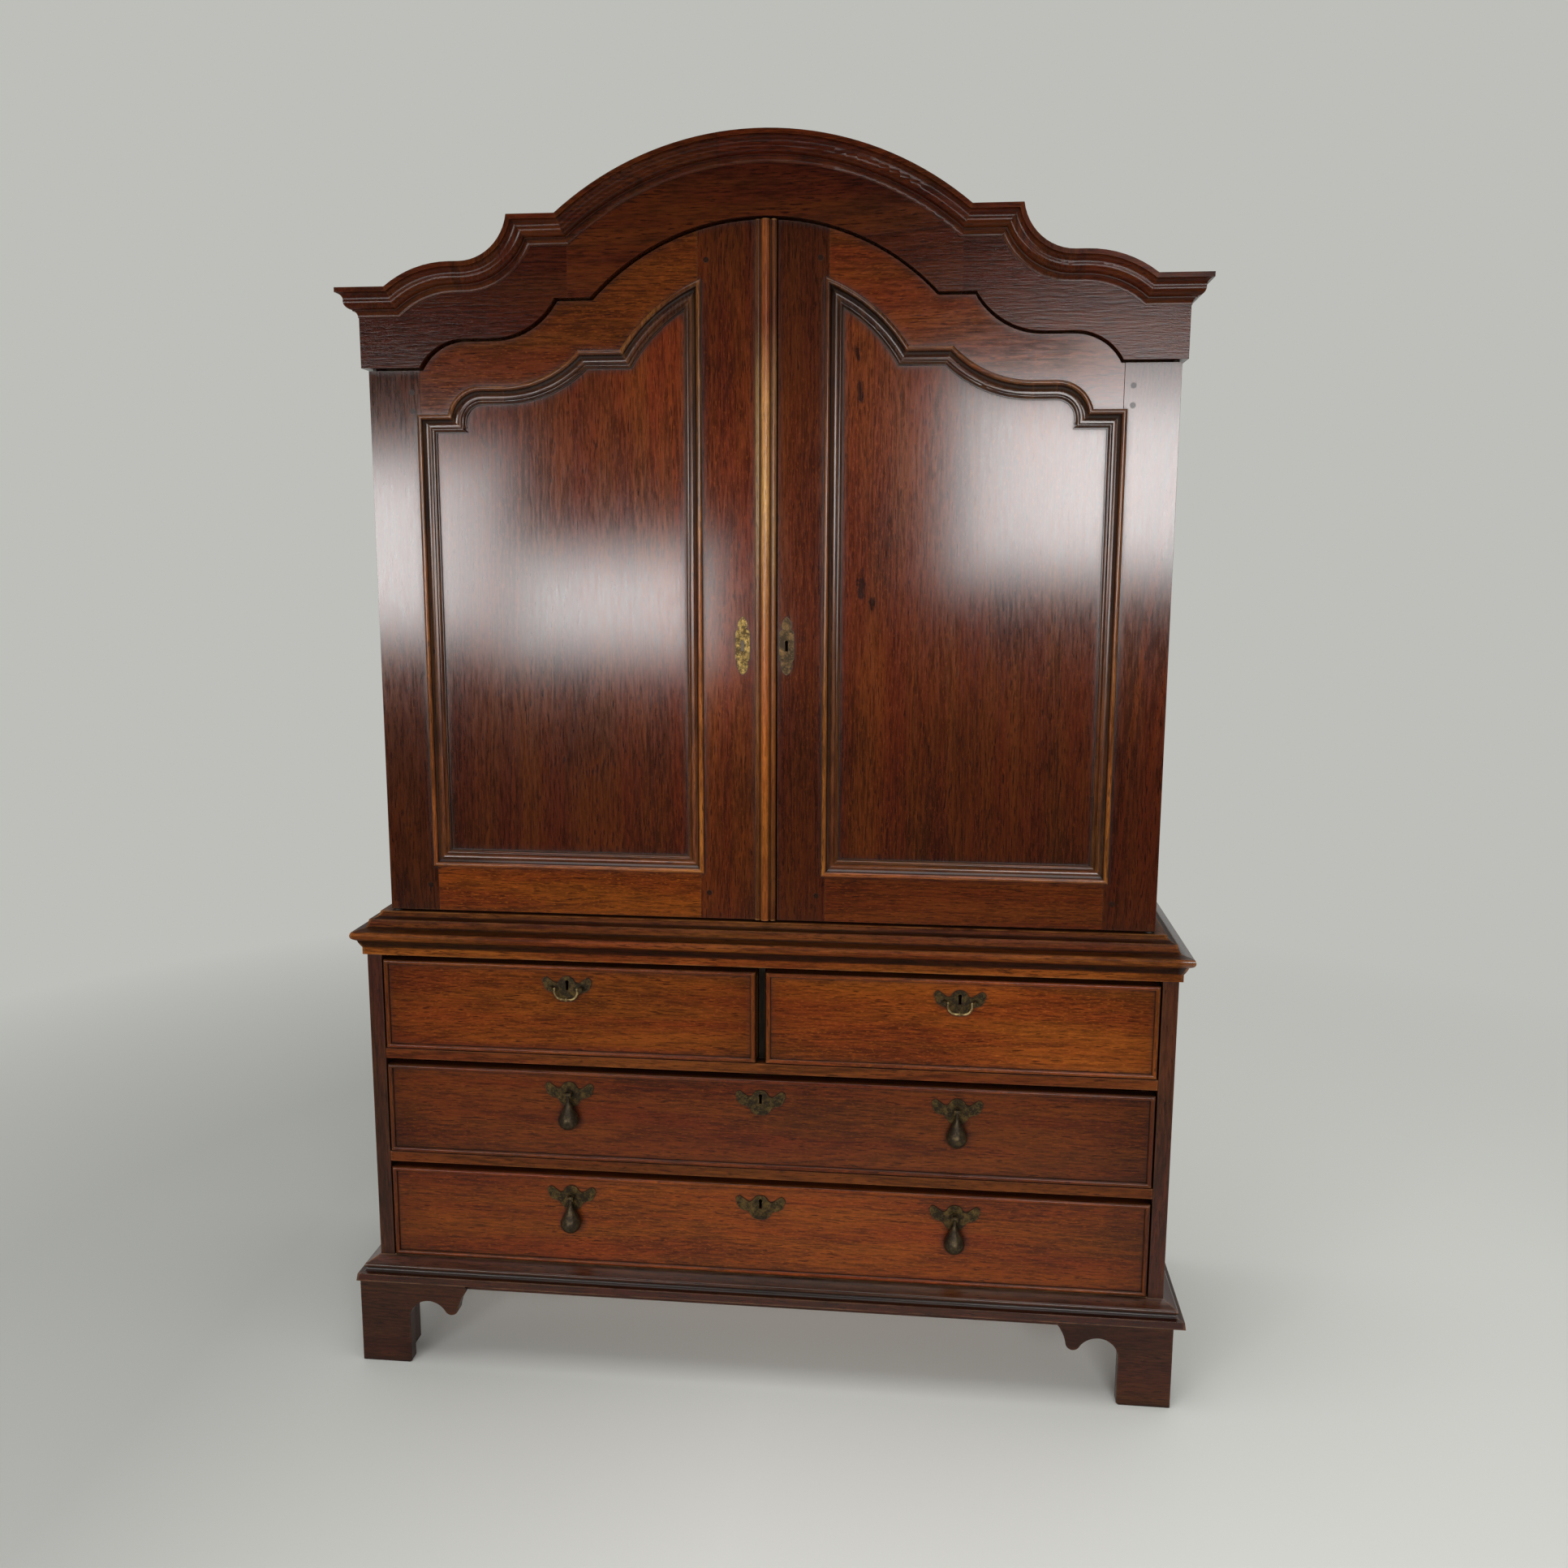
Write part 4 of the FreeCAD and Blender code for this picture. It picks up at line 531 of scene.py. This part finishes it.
def heads_tree(name, form):
    """Sets a pin, peg or slotted screw on every point, faced one way and turned by chance."""
    shape, number = "NodeSocketGeometry", "NodeSocketFloat"
    tree, given, put = group_of(name, {"Points": shape, "Radius": number, "Rise": number,
                                       "Facing": "NodeSocketVector", "Seed": "NodeSocketInt",
                                       "Finish": "NodeSocketMaterial"},
                                {"Geometry": shape}, "GeometryNodeTree")
    pin_round, pin_rings, peg_sides, screw_sides = 10, 6, 9, 18
    slot_long, slot_wide = 2.4, 0.28
    radius, rise = given.outputs["Radius"], given.outputs["Rise"]
    if form == "pin":
        ball = add(tree, "GeometryNodeMeshUVSphere", {0: pin_round, 1: pin_rings, 2: radius}).outputs[0]
        squash = joined(tree, 1.0, 1.0, figure(tree, "DIVIDE", rise, radius))
        head = add(tree, "GeometryNodeTransform", {0: ball, "Scale": squash}).outputs[0]
        head = add(tree, "GeometryNodeSetShadeSmooth", {0: head, 2: True}).outputs[0]
    else:
        sides = peg_sides if form == "peg" else screw_sides
        depth = figure(tree, "MULTIPLY", rise, 2.0)
        head = add(tree, "GeometryNodeMeshCylinder", {0: sides, 3: radius, 4: depth}).outputs[0]
    if form == "screw":
        slot_size = joined(tree, figure(tree, "MULTIPLY", radius, slot_long),
                           figure(tree, "MULTIPLY", radius, slot_wide), rise)
        slot = add(tree, "GeometryNodeMeshCube", {0: slot_size}).outputs[0]
        slot = add(tree, "GeometryNodeTransform", {0: slot, "Translation": joined(tree, z=rise)}).outputs[0]
        head = add(tree, "GeometryNodeMeshBoolean", {0: head, 1: slot}, operation="DIFFERENCE",
                   solver="EXACT").outputs[0]
    faced = add(tree, "FunctionNodeAlignRotationToVector", {"Vector": given.outputs["Facing"]}, axis="Z")
    chance = add(tree, "FunctionNodeRandomValue", {2: 0.0, 3: math.tau, 8: given.outputs["Seed"]},
                 data_type="FLOAT")
    spin = add(tree, "FunctionNodeAxisAngleToRotation", {0: (0.0, 0.0, 1.0), 1: chance.outputs[1]})
    turned = add(tree, "FunctionNodeRotateRotation", {0: faced.outputs[0], 1: spin.outputs[0]},
                 rotation_space="LOCAL")
    heads = add(tree, "GeometryNodeInstanceOnPoints", {0: given.outputs["Points"], 2: head,
                                                       5: turned.outputs[0]})
    whole = add(tree, "GeometryNodeRealizeInstances", {0: heads.outputs[0]})
    painted = add(tree, "GeometryNodeSetMaterial", {0: whole.outputs[0], 2: given.outputs["Finish"]})
    tree.links.new(painted.outputs[0], put.inputs[0])
    return tree


def placed(name, data):
    """A new object in the scene."""
    thing = bpy.data.objects.new(name, data)
    bpy.context.collection.objects.link(thing)
    return thing


def set_heads(name, tree, spots, given, body):
    """Sets heads at spots on a body and keeps them as one plain mesh."""
    points = bpy.data.meshes.new(name + "_points")
    points.from_pydata(spots, [], [])
    sower = placed(name + "_points", points)
    heads = sower.modifiers.new("heads", "NODES")
    heads.node_group = tree
    for socket, value in given.items():
        heads[given_id(tree, socket)] = value
    ready = bpy.context.evaluated_depsgraph_get()
    mesh = bpy.data.meshes.new_from_object(sower.evaluated_get(ready), depsgraph=ready)
    sower.modifiers.clear()
    bpy.data.objects.remove(sower)
    whole = placed(name, mesh)
    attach(whole, body)


pin_heads = heads_tree("pin heads", "pin")
screw_heads = heads_tree("screw heads", "screw")
toward, backward = (0.0, -1.0, 0.0), (0.0, 1.0, 0.0)
wing_x, wing_z, pull_x = 0.0385, 0.0105, 0.35925
plate_drop, key_plate_drop, plate_face_y = 0.042, 0.044, -0.263
lock_half_x, lock_tall, lock_back_y, screw_inset = 0.032, 0.052, -0.227, 0.0065
pin_given = {"Radius": 0.0014, "Rise": 0.0006, "Facing": toward, "Seed": 4, "Finish": brown_brass}
lock_screw_given = {"Radius": 0.0028, "Rise": 0.0006, "Facing": backward, "Seed": 7, "Finish": iron}
for drawer in fronts:
    low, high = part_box(drawer + "_front")
    middle = (low[0] + high[0]) / 2
    plates = [(middle, high[2] - key_plate_drop)]
    if not drawer.startswith("short"):
        plates += [(-pull_x, high[2] - plate_drop), (pull_x, high[2] - plate_drop)]
    pins = [(x + side * wing_x, plate_face_y, z + wing_z) for x, z in plates for side in (-1, 1)]
    set_heads(drawer + "_plate_pins", pin_heads, pins, pin_given, drawer)
    screws = [(middle + side * (lock_half_x - screw_inset), lock_back_y, high[2] - drop)
              for side in (-1, 1) for drop in (screw_inset, lock_tall - screw_inset)]
    set_heads(drawer + "_lock_screws", screw_heads, screws, lock_screw_given, drawer)

# Waist moulding: planed oak mitred round the top of the chest, which hides the joint of the two cases.
# Its fillet is gold and its nose pale, partly rubbed by linen and sleeves and partly painted highlight;
# its coves and quirks are painted dark, black wax and painted shade, and wax shines on its right end.
waist_arris = 0.0012
# Bands up the profile: gold fillet, painted shade in the coves and quirks, painted highlight on the nose
waist_colour_and_light = ((0.8055, 1.35, 1.25, 0.95), (0.8185, 1.3, 1.2, 0.95), (0.8205, 0.35), (0.825, 0.15),
               (0.8325, 0.2), (0.8355, 1.1), (0.849, 1.1), (0.8515, 0.25), (0.8565, 0.2), (0.8585, 0.75),
               (0.8685, 0.7), (0.8705, 0.15), (0.8735, 0.15), (0.8755, 0.6), (0.8825, 0.6))
waist_oak = oak_finish("waist_oak", heart=(0.182, 0.047, 0.0105), dark=(0.065, 0.0165, 0.0042),
                       worn=(0.35, 0.14, 0.042), specular=0.06, gloss=0.42, edge=0.7,
                       bands=((2, waist_colour_and_light),), waxed=(0.735, 0.75))
finish_nodes(waist_oak, waist_arris, "waist_moulding")

# Cupboard case: sides, floor and sill, back boards, roof planks that follow the cornice, head rail
# and shelves on bearers. Oak, polished outside only, dusty at the back and on top.
shelf_arris = 0.001
cupboard_back_board = 0.19971
cupboard_back_oak = oak_finish("cupboard_back_oak", nailed=(cupboard_back_board, 0.5), **dusty)
roof_oak = oak_finish("roof_oak", **dusty)
finish_nodes(side_oak, side_arris, "upper_sides")
finish_nodes(bare_oak, shelf_arris, "upper_floor", "shelves", "head_rail")
finish_nodes(cupboard_back_oak, back_arris, "upper_back_boards")
finish_nodes(roof_oak, back_arris, "roof_planks")

# Doors: oak frames tenoned and pegged, each round one broad panel with an arched head, and a mitred
# moulding over the joint; the left door has the astragal. Glossy polish over red stain, faded to gold
# on the rails and the astragal. Painted light as well: the panels lighter high up and the astragal pale
# in its middle as painted sheen, and painted highlights and shade across the mouldings' profile.
frame_arris, panel_arris, mould_arris, astragal_arris = 0.0007, 0.001, 0.0005, 0.0006
door_polish = {"gloss": 0.13, "relief": 0.03, "specular": 0.5, "edge": 0.25}
stile_bands = ((0, ((-0.6, 0.75), (-0.15, 1.4), (0.02, 1.3), (0.026, 1.05), (0.15, 1.0), (0.6, 0.82))),
               (2, ((1.0, 0.85), (1.15, 0.9), (1.32, 1.5), (1.7, 1.45), (1.85, 0.95), (2.06, 0.65))))
stile_oak = oak_finish("door_oak", heart=(0.082, 0.0145, 0.0028), dark=(0.03, 0.0055, 0.0015),
                       worn=(0.17, 0.05, 0.014), fleck=0.35, bands=stile_bands, **door_polish)
# Up the panels: lighter high up, painted sheen of the windows; across them, lighter near the middle
panel_tone_and_sheen = ((2, ((1.0, 0.9), (1.2, 1.0), (1.32, 1.3), (1.6, 1.5), (1.72, 1.65), (1.8, 1.6), (1.95, 1.45))),
               (0, ((-0.5, 0.9), (-0.3, 0.96), (-0.19, 1.2), (0.1, 1.35), (0.22, 1.3), (0.35, 1.1))))
panel_knots = ((0.162, 1.884, 0.0045, 0.018), (0.166, 1.813, 0.006, 0.03), (0.171, 1.484, 0.009, 0.03),
               (0.19, 1.458, 0.007, 0.014))
panel_oak = oak_finish("panel_oak", heart=(0.076, 0.0135, 0.0028), dark=(0.028, 0.0055, 0.0015),
                       worn=(0.14, 0.04, 0.011), fleck=0.35, mottle=2.4, bands=panel_tone_and_sheen,
                       knots=panel_knots, **dict(door_polish, relief=0.06))
left_rail_step = (2, ((1.05, 1.0), (1.1, 0.62, 0.62, 0.9)))
left_rail_oak = oak_finish("left_rail_oak", heart=(0.188, 0.0375, 0.004), dark=(0.07, 0.0145, 0.002),
                           worn=(0.27, 0.085, 0.016), fleck=0.5, boards=0.1, hollow=0.45,
                           bands=(left_rail_step,), **door_polish)
right_rail_step = (2, ((1.05, 1.0), (1.1, 1.1, 1.1, 1.05)))
right_rail_oak = oak_finish("right_rail_oak", heart=(0.12, 0.022, 0.0038), dark=(0.045, 0.0088, 0.002),
                            worn=(0.21, 0.07, 0.015), fleck=0.4, boards=0.1, hollow=0.45,
                            bands=(right_rail_step,), **door_polish)
mould_polish = {"heart": (0.155, 0.043, 0.01), "dark": (0.055, 0.0145, 0.0038), "worn": (0.30, 0.12, 0.042),
                "gloss": 0.16, "relief": 0.05, "specular": 0.42, "edge": 0.18, "hollow": 0.95}
arch_bands = (2, ((0.95, 1.15), (1.3, 1.0), (1.6, 0.75), (1.8, 0.6), (1.95, 0.42)))
# Across the moulding's profile: the outer bead bright, partly wear and partly painted highlight; the cove
# painted dark as shade; painted glints on the fillet
mould_wear_and_light = (1, ((-0.242, 1.9, 2.0, 1.7), (-0.2398, 1.3), (-0.2378, 0.35), (-0.2345, 0.35), (-0.2318, 0.7),
                   (-0.2311, 1.3), (-0.2306, 0.6), (-0.2285, 0.5)))
left_mould_fade = (0, ((-0.55, 0.8), (-0.15, 1.15)))
left_mould_oak = oak_finish("left_mould_oak", bands=(left_mould_fade, arch_bands, mould_wear_and_light),
                            **mould_polish)
right_mould_fade = (0, ((0.15, 0.9), (0.55, 0.8)))
right_mould_oak = oak_finish("right_mould_oak", bands=(right_mould_fade, arch_bands, mould_wear_and_light),
                             **mould_polish)
# The astragal's middle is painted pale and grey: painted sheen of the windows
red_end, worn_gold, painted_sheen_gold = (0.45, 0.3, 0.3), (0.9, 0.75, 0.5), (1.1, 1.45, 2.2)
astragal_bands = ((0, ((-0.005, 0.42), (-0.003, 1.0), (0.0125, 1.0), (0.0145, 0.48))),
                  (2, ((0.9, *red_end), (1.2, *worn_gold), (1.58, *painted_sheen_gold), (1.8, *painted_sheen_gold),
                       (1.93, *red_end))))
astragal_oak = oak_finish("astragal_oak", heart=(0.54, 0.18, 0.037), dark=(0.27, 0.082, 0.016),
                          worn=(0.6, 0.29, 0.11), gloss=0.22, specular=0.3, bands=astragal_bands)
peg_oak = oak_finish("peg_oak", heart=(0.022, 0.008, 0.004), dark=(0.010, 0.004, 0.0025),
                     worn=(0.03, 0.011, 0.005), gloss=0.2)
peg_heads = heads_tree("peg heads", "peg")
peg_given = {"Radius": 0.0048, "Rise": 0.0004, "Facing": toward, "Seed": 2, "Finish": peg_oak}
door_face_y, peg_away = -0.235, 0.015
foot_peg_z, arch_peg_z, shoulder_pegs_z = 0.934, 2.034, (1.789, 1.821)
finish_nodes(astragal_oak, astragal_arris, "left_door_astragal")
doors = {"left": (-1, left_rail_oak, left_mould_oak), "right": (1, right_rail_oak, right_mould_oak)}
for side, (hand, rail_wood, mould_wood) in doors.items():
    finish_nodes(stile_oak, frame_arris, side + "_door_stiles")
    finish_nodes(rail_wood, frame_arris, side + "_door_rails")
    finish_nodes(panel_oak, panel_arris, side + "_door_panel")
    finish_nodes(mould_wood, mould_arris, side + "_door_panel_moulding")
    low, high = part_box(side + "_door_rails")
    joints = sorted((low[0], high[0]), key=abs)
    meeting_x = joints[0] - hand * peg_away
    hinge_x = joints[1] + hand * peg_away
    pegs = [(meeting_x, door_face_y, z) for z in (foot_peg_z, arch_peg_z)]
    pegs += [(hinge_x, door_face_y, z) for z in (foot_peg_z, *shoulder_pegs_z)]
    set_heads(side + "_door_pegs", peg_heads, pegs, peg_given, side + "_door")

# Door ironwork and brasses: pivots top and bottom, slide bolts on the left door, a lock on the right
# one, and a pinned brass plate on each. The left plate's keyhole is blind: a worn filling closes it.
iron_arris, escutcheon_arris = 0.0003, 0.0005
bright_brass = metal_finish("bright_brass", (0.58, 0.38, 0.11), (0.075, 0.045, 0.014), 0.75, 0.75, 0.9)
dull_brass = metal_finish("dull_brass", (0.22, 0.12, 0.04), (0.036, 0.022, 0.009), 0.65, 0.7, 0.6)
worn_filling = metal_finish("worn_filling", (0.13, 0.095, 0.06), (0.06, 0.043, 0.028), 0.7, 0.4)
finish_nodes(iron, iron_arris, "door_pivot_pins", "left_door_pivot_bushes", "right_door_pivot_bushes",
             "left_door_bolt_plates", "left_door_top_bolt", "left_door_bottom_bolt", "right_door_lock",
             "right_door_lock_bolt")
escutcheon_pin_z, escutcheon_face_y = 0.0445, -0.237
for side, brass in (("left", bright_brass), ("right", dull_brass)):
    finish_nodes(brass, escutcheon_arris, side + "_door_escutcheon")
    low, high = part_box(side + "_door_escutcheon")
    x, z = (low[0] + high[0]) / 2, (low[2] + high[2]) / 2
    pins = [(x, escutcheon_face_y, z + escutcheon_pin_z), (x, escutcheon_face_y, z - escutcheon_pin_z)]
    set_heads(side + "_door_escutcheon_pins", pin_heads, pins, dict(pin_given, Finish=brass),
              side + "_door")
low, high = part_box("left_door_escutcheon")
x, z = (low[0] + high[0]) / 2, (low[2] + high[2]) / 2
blank_round, blank_half, blank_tall, blank_rise, blank_sides = 0.0038, 0.0028, 0.019, 0.0003, 14
blank_flare = 1.25
eye_z = z + blank_tall / 2 - blank_round
foot_z = z - blank_tall / 2
corner = math.asin(blank_half / blank_round)
arc = math.tau - 2 * corner
turns = [-math.pi / 2 + corner + arc * step / blank_sides for step in range(blank_sides + 1)]
outline = [(x + blank_round * math.cos(turn), eye_z + blank_round * math.sin(turn)) for turn in turns]
outline += [(x - blank_half * blank_flare, foot_z), (x + blank_half * blank_flare, foot_z)]
count = len(outline)
corners = [(px, escutcheon_face_y, pz) for px, pz in outline]
corners += [(px, escutcheon_face_y - blank_rise, pz) for px, pz in outline]
faces = [tuple(range(count)), tuple(reversed(range(count, 2 * count)))]
faces += [(step, step + count, (step + 1) % count + count, (step + 1) % count) for step in range(count)]
blank_mesh = bpy.data.meshes.new("left_door_keyhole_blank")
blank_mesh.from_pydata(corners, [], faces)
blank_mesh.materials.append(worn_filling)
blank = placed("left_door_keyhole_blank", blank_mesh)
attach(blank, "left_door")
iron_screw_given = {"Radius": 0.0034, "Rise": 0.0007, "Facing": backward, "Seed": 11, "Finish": iron}
door_lock_inset = 0.008
low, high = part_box("right_door_lock")
screws = [(x, high[1], z) for x in (low[0] + door_lock_inset, high[0] - door_lock_inset)
          for z in (low[2] + door_lock_inset, high[2] - door_lock_inset)]
set_heads("right_door_lock_screws", screw_heads, screws, iron_screw_given, "right_door")
bolt_plate_x, bolt_plate_wide, bolt_plate_tall = -0.060, 0.040, 0.150
bolt_plate_inset, bolt_plate_back_y = 0.006, -0.207
low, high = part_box("left_door_bolt_plates")
screws = [(bolt_plate_x + side * (bolt_plate_wide / 2 - bolt_plate_inset), bolt_plate_back_y, end + step)
          for side in (-1, 1) for end in (low[2], high[2] - bolt_plate_tall)
          for step in (bolt_plate_inset, bolt_plate_tall - bolt_plate_inset)]
set_heads("left_door_bolt_plate_screws", screw_heads, screws, iron_screw_given, "left_door")

# Frieze and cornice: three oak boards cut to the serpentine line over the doors, and a cornice of
# short moulded lengths mitred at every turn, with one joint left of the middle of its arch.
crest_arris = 0.0006
frieze_fade = (0, ((-0.7, 1.35), (-0.3, 1.25), (-0.2, 1.0), (0.35, 1.0), (0.5, 1.45, 1.25, 1.0)))
frieze_oak = oak_finish("frieze_oak", heart=(0.053, 0.0096, 0.0026), dark=(0.019, 0.004, 0.0014),
                        worn=(0.12, 0.036, 0.01), gloss=0.17, specular=0.21, boards=0.5, edge=0.1,
                        hollow=0.3, relief=0.7, bands=(frieze_fade,))
cornice_joint = (0, ((-0.4, 1.0), (-0.0725, 0.9), (-0.0705, 0.4), (-0.0685, 1.2, 1.0, 0.95),
                     (0.1, 1.15, 1.0, 0.95), (0.4, 1.0)))
cornice_oak = oak_finish("cornice_oak", heart=(0.07, 0.0135, 0.0035), dark=(0.026, 0.0055, 0.0018),
                         worn=(0.15, 0.05, 0.015), gloss=0.2, specular=0.15, edge=0.2,
                         bands=(cornice_joint,))
finish_nodes(frieze_oak, crest_arris, "frieze_boards")
finish_nodes(cornice_oak, crest_arris, "cornice_arch", "cornice_shoulders")

# Studio: a pale floor that melts into a pale room, lamps in front that stand for windows, one broad lamp
# overhead, and the camera at the photograph's place.
pale = (0.515, 0.52, 0.49, 1.0)
floor_half = 12.0
floor_left, floor_right = (0.475, 0.48, 0.457, 1.0), (0.745, 0.75, 0.715, 1.0)
floor_under, floor_dim = (0.92, 0.93, 0.905, 1.0), (0.12, 0.12, 0.115, 1.0)
floor_mesh = bpy.data.meshes.new("floor")
floor_mesh.from_pydata([(-floor_half, -floor_half, 0.0), (floor_half, -floor_half, 0.0),
                        (floor_half, floor_half, 0.0), (-floor_half, floor_half, 0.0)], [], [(0, 1, 2, 3)])
floor = placed("floor", floor_mesh)
floor_paint, tree = bare_material("floor_paint")
place = place_of(tree)
sideways, fore = parts(tree, place)[:2]
ray = add(tree, "ShaderNodeLightPath")
seen = figure(tree, "MAXIMUM", ray.outputs["Is Camera Ray"], ray.outputs["Is Transmission Ray"])
# Far off, and in reflections from beside the press, the floor glows like the room
aside = figure(tree, "MULTIPLY", ray.outputs["Is Glossy Ray"], span(tree, fore, -1.2, -0.4))
melt = figure(tree, "MULTIPLY", span(tree, length(tree, place), 1.7, 3.4),
              figure(tree, "MAXIMUM", seen, aside))
# Painted light on the floor: darker to the left, and paler under the press, which paints out its shadow;
# dim in front for all but the eye
tone = tint(tree, span(tree, sideways, -1.1, 0.0), floor_left, floor_right)
under = figure(tree, "MULTIPLY", span(tree, fore, -0.32, -0.05),
               span(tree, figure(tree, "ABSOLUTE", sideways), 0.8, 0.65))
tone = tint(tree, under, tone, floor_under)
dim = figure(tree, "SUBTRACT", span(tree, fore, -0.9, -2.2), seen, True)
tone = tint(tree, dim, tone, floor_dim)
matt = add(tree, "ShaderNodeBsdfDiffuse", {"Color": tone})
glow = add(tree, "ShaderNodeEmission", {"Color": pale, "Strength": 1.0})
both = add(tree, "ShaderNodeMixShader", {0: melt, 1: matt.outputs[0], 2: glow.outputs[0]})
add(tree, "ShaderNodeOutputMaterial", {"Surface": both.outputs[0]})
floor_mesh.materials.append(floor_paint)

room_behind, room_ahead = (0.5, 0.505, 0.49, 1.0), (0.25, 0.25, 0.245, 1.0)
room_mirrored = (0.05, 0.05, 0.048, 1.0)
world = bpy.data.worlds.new("room")
bpy.context.scene.world = world
world.use_nodes = True
tree = world.node_tree
tree.nodes.clear()
forward = parts(tree, add(tree, "ShaderNodeTexCoord").outputs["Generated"])[1]
ray = add(tree, "ShaderNodeLightPath")
ahead = tint(tree, ray.outputs["Is Glossy Ray"], room_ahead, room_mirrored)
room = tint(tree, span(tree, forward, -0.8, 0.1), ahead, room_behind)
seen = figure(tree, "MAXIMUM", ray.outputs["Is Camera Ray"], ray.outputs["Is Transmission Ray"])
sky = add(tree, "ShaderNodeBackground", {"Color": tint(tree, seen, room, pale), "Strength": 1.0})
add(tree, "ShaderNodeOutputWorld", {"Surface": sky.outputs[0]})


def lamp_of(name, width, height, radiance, matrix):
    """A flat lamp that looks equally bright from everywhere in front of it."""
    lamp = bpy.data.lights.new(name, "AREA")
    lamp.shape = "RECTANGLE"
    lamp.size = width
    lamp.size_y = height
    lamp.energy = radiance * width * height * math.pi
    lamp_object = placed(name, lamp)
    lamp_object.matrix_world = matrix
    lamp_object.visible_camera = False


# Each window is a bright glass behind two veils, so that its edges fade; a pane stands behind its window
windows = {"window_left": ((-2.26, 1.585), 1.2, 0.82, 11.0),
           "window_left_pane": ((-2.31, 1.59), 0.62, 0.74, 5.2),
           "window_middle": ((-1.17, 1.34), 0.9, 0.44, 14.0),
           "window_right": ((1.05, 1.87), 1.3, 0.78, 14.5),
           "window_right_pane": ((1.24, 1.86), 0.92, 0.76, 2.6),
           "window_high": ((1.22, 2.45), 0.6, 0.55, 4.3)}
veils = {"glass": (-0.18, 0.35, 0.0), "veil": (0.0, 0.35, 0.02), "curtain": (0.18, 0.3, 0.04)}
window_y, pane_behind = -4.0, 0.005
upright_turn = Matrix.Rotation(math.radians(90), 4, "X")
for name, ((x, z), width, height, radiance) in windows.items():
    behind = pane_behind if name.endswith("_pane") else 0.0
    for layer, (more, share, nearer) in veils.items():
        facing = Matrix.Translation((x, window_y + nearer - behind, z)) @ upright_turn
        lamp_of(name + "_" + layer, width + more, height + more, radiance * share, facing)
ceiling_size, ceiling_radiance, ceiling_place = 3.2, 2.45, (0.0, -0.6, 4.3)
lamp_of("ceiling", ceiling_size, ceiling_size, ceiling_radiance, Matrix.Translation(ceiling_place))

camera_place = (0.296989, -2.651821, 1.530705)
camera_yaw, camera_pitch, camera_roll = 0.106512, -0.160508, -0.003325
camera_data = bpy.data.cameras.new("camera")
camera_data.sensor_fit = "HORIZONTAL"
camera_data.sensor_width = 36.0
camera_data.lens = 31.623
camera = placed("camera", camera_data)
turn = (Matrix.Rotation(camera_yaw, 4, "Z") @ Matrix.Rotation(camera_pitch, 4, "X")
        @ Matrix.Rotation(camera_roll, 4, "Y"))
camera.matrix_world = Matrix.Translation(camera_place) @ turn @ upright_turn
bpy.context.scene.camera = camera
bpy.context.scene.view_settings.view_transform = "Standard"
